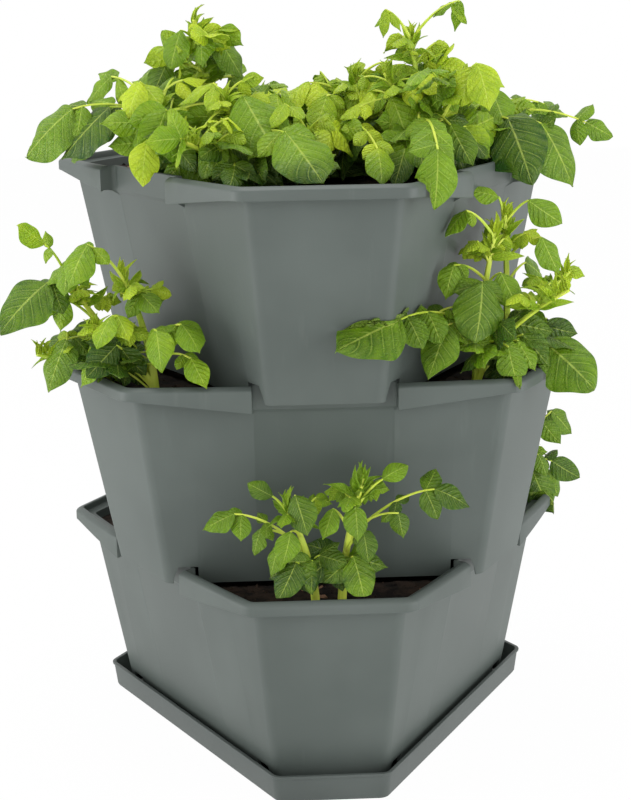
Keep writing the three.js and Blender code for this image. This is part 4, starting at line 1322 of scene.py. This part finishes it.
    def bush(self, stem, outward, count):
        """Compound leaves up a stem: the low ones long and darkened as painted shade inside the bush, the
        high ones short and light.
        """
        spread = BUSH_SPREAD[self.tier]
        for index in range(count):
            low, high = BUSH_FROM[self.tier], BUSH_TO[self.tier]
            share = low + (high - low) * (index + self.random.random()) / count
            start = curve_point(stem, share)
            size = self.random.uniform(*BUSH_SIZE[self.tier]) * graded(BUSH_SIZE_GRADE, share)
            for attempt in range(BUSH_TRIES):
                turn = (index * GOLDEN_ANGLE + self.jitter(attempt + PAIR_JITTER) + math.pi) % (2 * math.pi)
                heading = outward + (turn / math.pi - 1) * spread
                reach = BUSH_REACH[self.tier] * self.random.uniform(*BUSH_REACH_JITTER)
                reach *= graded(BUSH_REACH_GRADE, share)
                rise = reach * self.random.uniform(*BUSH_RISE) + attempt / BUSH_TRIES * BUSH_LIFT
                middle = start + away(heading, reach, rise)
                if has_room(middle, size * LEAFLET_LENGTH / 2, self.tier):
                    break
            else:
                continue
            droop = self.random.uniform(*BUSH_DROOP)
            # Painted shade: the low leaves of the bush get a darker tone
            tone = graded(BUSH_TONE_SHADE_GRADE, share) + self.jitter(BUSH_TONE_JITTER) + TIER_TONE[self.tier]
            pairs = self.random.choice(BUSH_PAIRS)
            self.leaf(start, middle, size, pairs, droop, self.jitter(BUSH_TWIST), tone, STALK_TIP_RADIUS)

    def crown(self, stem, tone):
        """Young leaves up a stem's end: narrow, half folded and close, with small feathery leaves."""
        tone += TIER_TONE[self.tier]
        for index in range(CROWN_LEAVES):
            share = index / CROWN_LEAVES
            base = curve_point(stem, 1 - CROWN_SHARE * share)
            heading = index * GOLDEN_ANGLE + self.jitter(CROWN_TURN)
            along = drooping(heading, graded(CROWN_PITCH_GRADE, share) + self.jitter(CROWN_PITCH_JITTER))
            length = CROWN_SIZE * LEAFLET_LENGTH * graded(CROWN_LENGTH_GRADE, share)
            length *= self.random.uniform(*CROWN_LENGTH_JITTER)
            fold = -self.random.uniform(*CROWN_FOLD)
            twist = self.jitter(CROWN_TWIST)
            shade = tone + CROWN_TONE_RISE * share
            self.leaflet(base, along, twist, length, shade, CROWN_WIDTH, fold, CROWN_CURL)
        for index in range(FEATHERS):
            heading = (index + self.jitter(FEATHER_TURN)) * 2 * math.pi / FEATHERS
            start = curve_point(stem, 1 - CROWN_SHARE)
            end = start + away(heading, 1, self.random.uniform(*FEATHER_RISE)) * FEATHER_REACH
            self.leaf(start, end, FEATHER_SIZE, FEATHER_PAIRS, FEATHER_DROOP, FEATHER_TWIST,
                      tone + FEATHER_TONE, STALK_TIP_RADIUS)

    def finish(self, node, materials):
        points = np.concatenate(self.points)
        points = keep_clear(points, np.concatenate(self.owners) == 0, self.tier)
        body = BODIES[self.tier]
        piece = new_piece(node, "foliage", points, self.faces, materials, body, self.slots)
        mesh = piece.data
        uvs = np.concatenate(self.uvs).astype(np.float32)
        corners = np.empty(len(mesh.loops), np.int32)
        mesh.loops.foreach_get("vertex_index", corners)
        mesh.uv_layers.new(name="leaf_map").data.foreach_set("uv", uvs[corners].ravel())
        # Painted shade: leaves deep inside the tub get a darker tone
        tones = np.concatenate(self.tones) + PAINTED_DEPTH_SHADE * painted_shade_depth(points, self.tier)
        for key, values in (("tone", tones), ("under", np.concatenate(self.unders))):
            data = mesh.attributes.new(key, "FLOAT", "POINT").data
            data.foreach_set("value", values.astype(np.float32))


def painted_shade_depth(points, tier):
    """How deep in the bush points lie, which sets their painted shade: 0 above it and 1 down inside the tub.
    """
    levels = points[:, 2] - tier_level(tier)
    past_inside, _ = outside_by(tier_sign(tier) * points[:, :2], rim_faces(0))
    return np.clip((TUB_HEIGHT + DEEP_LEVEL - levels) / DEEP_REACH, 0, 1) * (past_inside < 0)


def has_room(place, reach, tier):
    """Whether a leaf round a place stays clear of the tub above and of its own tub's rim."""
    flat = tier_sign(tier) * np.array([place[:2]])
    level = place.z - tier_level(tier)
    past_inside, _ = outside_by(flat, rim_faces(-WALL))
    if past_inside[0] > -reach and level < TUB_HEIGHT + reach:
        return False
    if tier + 1 == len(TIERS):
        return True
    above = min(max(place.z - tier_level(tier + 1), 0), TUB_HEIGHT)
    gap, _ = outside_by(-flat, wall_faces(above, RIM_OVERHANG * above / TUB_HEIGHT))
    return gap[0] > reach


def keep_clear(points, leafy, tier):
    """Moves what would pass through the tub above, through its own tub's rim or into the soil."""
    points = points.copy()
    sign = tier_sign(tier)
    flat = sign * points[:, :2]
    levels = points[:, 2] - tier_level(tier)
    past_inside, inward = outside_by(flat, rim_faces(-WALL - RIM_CLEARANCE))
    past_outside, outward = outside_by(flat, rim_faces(RIM_OVERHANG + RIM_CLEARANCE))
    lift = TUB_HEIGHT + RIM_CLEARANCE - levels
    in_rim = (past_inside > 0) & (past_outside < 0) & (lift > 0) & (levels > TUB_HEIGHT - RIM_WATCH)
    lifted = in_rim & (lift <= np.minimum(past_inside, -past_outside))
    pulled = in_rim & ~lifted & (past_inside < -past_outside)
    pushed = in_rim & ~lifted & ~pulled
    points[lifted, 2] += lift[lifted]
    points[pulled, :2] -= sign * (inward * past_inside[:, None])[pulled]
    points[pushed, :2] -= sign * (outward * past_outside[:, None])[pushed]
    buried = leafy & (past_inside <= 0) & (levels < HEAP_LEVEL + LEAF_CLEARANCE)
    points[buried, 2] = HEAP_LEVEL + LEAF_CLEARANCE + tier_level(tier)
    if tier + 1 < len(TIERS):
        above = points[:, 2] - tier_level(tier + 1)
        faces = wall_faces(np.clip(above, 0, TUB_HEIGHT), LEAF_CLEARANCE)
        gap, normal = outside_by(-flat, faces)
        inside = (gap < 0) & (above > -LEAF_CLEARANCE)
        points[inside, :2] += sign * (normal * gap[:, None])[inside]
    return points


def seed_of(name):
    return sum(ord(letter) * (index + 1) for index, letter in enumerate(name))


def shoot_root(tier, azimuth, root_shares):
    x, y = polar(azimuth, root_shares[0] * RIM_SHORT_FACE, root_shares[1] * RIM_SHORT_FACE)
    return Vector((x, y, tier_level(tier) + SOIL_LEVEL))


def make_shoot(row, materials):
    name, tier, azimuth, root_shares, stem_shares, leaves = row
    plant = Plant(seed_of(name), tier)
    root = shoot_root(tier, azimuth, root_shares)
    top = Vector(stem_shares) * PLANT_REACH
    stem = (root, root + UP * (top.z * STEM_UPRIGHT_SHARE), root + top)
    plant.stalk(stem, STEM_RADIUS, STEM_TIP_RADIUS, STEM_TONE, STEM_STEPS)
    for index, (leaves_at, right, back, up, size, pairs, droop) in enumerate(leaves):
        middle = root + Vector((right, back, up)) * PLANT_REACH
        twist = LEAF_TWIST * math.sin(index * LEAF_TWIST_STEP)
        tone = plant.random.uniform(*LEAF_TONE) + SIZE_TONE * size + TIER_TONE[tier]
        if name in PALE_SHOOTS:
            tone -= PALE_STEP
        width = YOUNG_WIDTH if leaves_at >= YOUNG_FROM and tier == len(TIERS) - 1 else 1.0
        start = curve_point(stem, leaves_at)
        plant.leaf(start, middle, size, pairs, droop, twist, tone, width=width)
    plant.crown(stem, CROWN_TONE)
    plant.bush(stem, azimuth, BUSH_LEAVES[tier])
    for index in range(SIDE_STEMS[tier]):
        turn = index * THIRD + plant.jitter(SIDE_STEM_TURN)
        heading = azimuth + turn * BUSH_SPREAD[tier] / math.pi
        reach = PLANT_REACH * plant.random.uniform(*SIDE_STEM_REACH)
        rise = top.z * plant.random.uniform(*SIDE_STEM_RISE)
        side_stem = (root, root + UP * (rise * STEM_UPRIGHT_SHARE), root + away(heading, reach, rise))
        radius = STEM_RADIUS * SIDE_STEM_RADIUS_SHARE
        plant.stalk(side_stem, radius, STEM_TIP_RADIUS, STEM_TONE, SIDE_STEM_STEPS)
        plant.bush(side_stem, azimuth, BUSH_LEAVES[tier])
        plant.crown(side_stem, SIDE_CROWN_TONE)
    plant.finish(name, materials)


def leaf_material():
    nodes = new_material("leaf")
    uv = nodes.add("UVMap", uv_map="leaf_map").outputs["UV"]
    parts = nodes.add("SeparateXYZ", {"Vector": uv}).outputs
    across = nodes.times(nodes.math("ABSOLUTE", nodes.math("SUBTRACT", parts["X"], 0.5)), 2.0)
    lean = nodes.times(across, LEAF_VEIN_LEAN * LEAF_HALF_WIDTH_SHARE)
    phase = nodes.times(nodes.math("SUBTRACT", parts["Y"], lean), LEAF_VEINS)
    nearness = nodes.math("PINGPONG", phase, 0.5)
    lateral = nodes.times(nodes.band(nearness, *VEIN_BAND), nodes.band(across, *VEIN_FADE))
    veins = nodes.math("MAXIMUM", nodes.times(lateral, VEIN_SHARE), nodes.band(across, *MIDRIB_BAND))
    # The pillows between the veins are raised by the bump and get a painted highlight; the creases beside the
    # veins get painted shade
    pillow = nodes.band(nearness, *PILLOW_BAND)
    crease_shade = nodes.times(nodes.math("SUBTRACT", 1.0, pillow), nodes.band(across, *CREASE_SHADE_FADE))
    inputs = {"Vector": nodes.place(), "Scale": NETWORK_SCALE}
    cells = nodes.add("TexVoronoi", inputs, feature="DISTANCE_TO_EDGE")
    network = nodes.band(cells.outputs["Distance"], *NETWORK_BAND)
    tone, under = (nodes.add("Attribute", attribute_name=key).outputs["Fac"] for key in ("tone", "under"))
    patches = nodes.math("SUBTRACT", nodes.noise(*LEAF_PATCHES), 0.5)
    shade = nodes.math("ADD", tone, nodes.times(patches, PATCH_SHARE), True)
    young = nodes.mix(nodes.band(shade, *YOUNG_BAND), rgb(186, 211, 38), rgb(108, 147, 6))
    blade = nodes.mix(nodes.band(shade, *DEEP_BAND), young, rgb(22, 66, 6))
    # Painted light on the blade: a painted highlight on the pillows, painted shade in the creases and in the
    # grooves of the network; then the paler veins and underside
    layers = (
        (pillow, 0.07, rgb(220, 238, 96)),
        (crease_shade, 0.08, rgb(40, 70, 12)),
        (network, 0.08, rgb(52, 84, 20)),
        (veins, 0.36, rgb(214, 230, 110)),
        (under, 0.35, rgb(168, 192, 84)),
    )
    for mask, share, colour in layers:
        blade = nodes.mix(nodes.times(mask, share), blade, colour)
    nodes.surface(blade, LEAF_ROUGHNESS, LEAF_SPECULAR, SOFTNESS)
    bulges = nodes.math("ADD", nodes.times(nodes.noise(*LEAF_GRAIN), GRAIN_SHARE), pillow)
    nodes.bump(nodes.math("SUBTRACT", bulges, nodes.times(network, NETWORK_SHARE)), *LEAF_RELIEF)
    return nodes.owner


def stem_material():
    nodes = new_material("leaf_stem")
    fibre = nodes.fibres(STEM_SQUEEZE)
    patches = nodes.band(nodes.noise(*STEM_PATCHES), *PATCH_BAND)
    tone = nodes.mix(patches, rgb(212, 226, 84), rgb(174, 202, 50))
    colour = nodes.mix(nodes.band(fibre, *FIBRE_BAND), tone, rgb(194, 214, 70))
    nodes.surface(colour, STEM_ROUGHNESS, softness=SOFTNESS)
    nodes.bump(fibre, *STEM_RELIEF)
    return nodes.owner


make_tubs(plastic_material("tub_plastic", rgb(82, 90, 86), rgb(90, 98, 94)))
make_saucer(plastic_material("saucer_plastic", rgb(78, 85, 82), rgb(87, 94, 91)))
ground, chips = soil_material(), chip_material()
for tier in range(len(TIERS)):
    make_soil(tier, ground, chips)
foliage = [leaf_material(), stem_material()]
for row in SHOOTS:
    make_shoot(row, foliage)


# Camera, floor and light

CAMERA_PLACE = (-0.0695, -1.5676, 0.6927)
CAMERA_TURN = math.radians(-2.54)
CAMERA_TILT = math.radians(76.4)
CAMERA_ROLL = math.radians(-0.9)
CAMERA_LENS = 95.70
CAMERA_SENSOR = 36.0
FLOOR_SIZE = 12.0
FLOOR_GLOW = 0.98
FLOOR_PALE = 0.98
FLOOR_ROUGHNESS = 0.9
ROOM_LIGHT = 0.55
WHITE = (1, 1, 1, 1)

# Lamps: name, place, what they aim at (the middle of the tower or a point behind it), size and power
TOWER_MIDDLE = (0, 0, 0.35)
BEHIND_TOWER = (1, 0.94, 0.88)
LAMPS = (
    ("front_light", (-0.3, -2.5, 1.0), TOWER_MIDDLE, 1.4, 9),
    ("top_light", (-0.2, 0.1, 2.6), TOWER_MIDDLE, 1.0, 22),
    ("left_light", (-2.0, -0.4, 0.6), BEHIND_TOWER, 1.5, 28),
    ("right_light", (1.8, -1.0, 0.6), BEHIND_TOWER, 1.5, 30),
)


def make_camera():
    data = bpy.data.cameras.new("photo_camera")
    data.sensor_fit = "HORIZONTAL"
    data.sensor_width = CAMERA_SENSOR
    data.lens = CAMERA_LENS
    camera = new_object("photo_camera", data)
    turn = Matrix.Rotation(CAMERA_TURN, 4, "Z")
    tilt = Matrix.Rotation(CAMERA_TILT, 4, "X")
    roll = Matrix.Rotation(CAMERA_ROLL, 4, "Z")
    camera.matrix_world = Matrix.Translation(CAMERA_PLACE) @ turn @ tilt @ roll
    bpy.context.scene.camera = camera


def seen_directly(nodes):
    """1 for rays that look at the surface directly or by a mirror or glass."""
    rays = nodes.add("LightPath").outputs
    mirrored = nodes.math("MAXIMUM", rays["Is Camera Ray"], rays["Is Glossy Ray"])
    return nodes.math("MAXIMUM", mirrored, rays["Is Transmission Ray"])


def make_floor():
    mesh = bpy.data.meshes.new("studio_floor")
    half = FLOOR_SIZE / 2
    corners = [(-half, -half, 0), (half, -half, 0), (half, half, 0), (-half, half, 0)]
    mesh.from_pydata(corners, [], [tuple(range(len(corners)))])
    nodes = new_material("studio_floor")
    nodes.surface((FLOOR_PALE, FLOOR_PALE, FLOOR_PALE, 1), FLOOR_ROUGHNESS)
    glow = nodes.add("Emission", {"Color": WHITE, "Strength": 1.0})
    share = nodes.times(seen_directly(nodes), FLOOR_GLOW)
    nodes.mix_shaders(share, nodes.shader.outputs[0], glow.outputs[0], "Material Output")
    mesh.materials.append(nodes.owner)
    floor = new_object("studio_floor", mesh)


def make_world():
    world = bpy.data.worlds.new("studio")
    bpy.context.scene.world = world
    nodes = Nodes(world)
    light = nodes.tree.nodes["Background"]
    backdrop = nodes.add("Background")
    for node, strength in ((light, ROOM_LIGHT), (backdrop, 1.0)):
        nodes.put(node.inputs["Color"], WHITE)
        nodes.put(node.inputs["Strength"], strength)
    nodes.mix_shaders(seen_directly(nodes), light.outputs[0], backdrop.outputs[0], "World Output")


def make_lamp(name, place, target, size, power):
    data = bpy.data.lights.new(name, "AREA")
    data.shape = "SQUARE"
    data.size = size
    data.energy = power
    lamp = new_object(name, data)
    lamp.location = place
    lamp.rotation_euler = (Vector(target) - Vector(place)).to_track_quat("-Z", "Y").to_euler()


bpy.context.scene.view_settings.view_transform = "Standard"
make_camera()
make_floor()
make_world()
for lamp_row in LAMPS:
    make_lamp(*lamp_row)
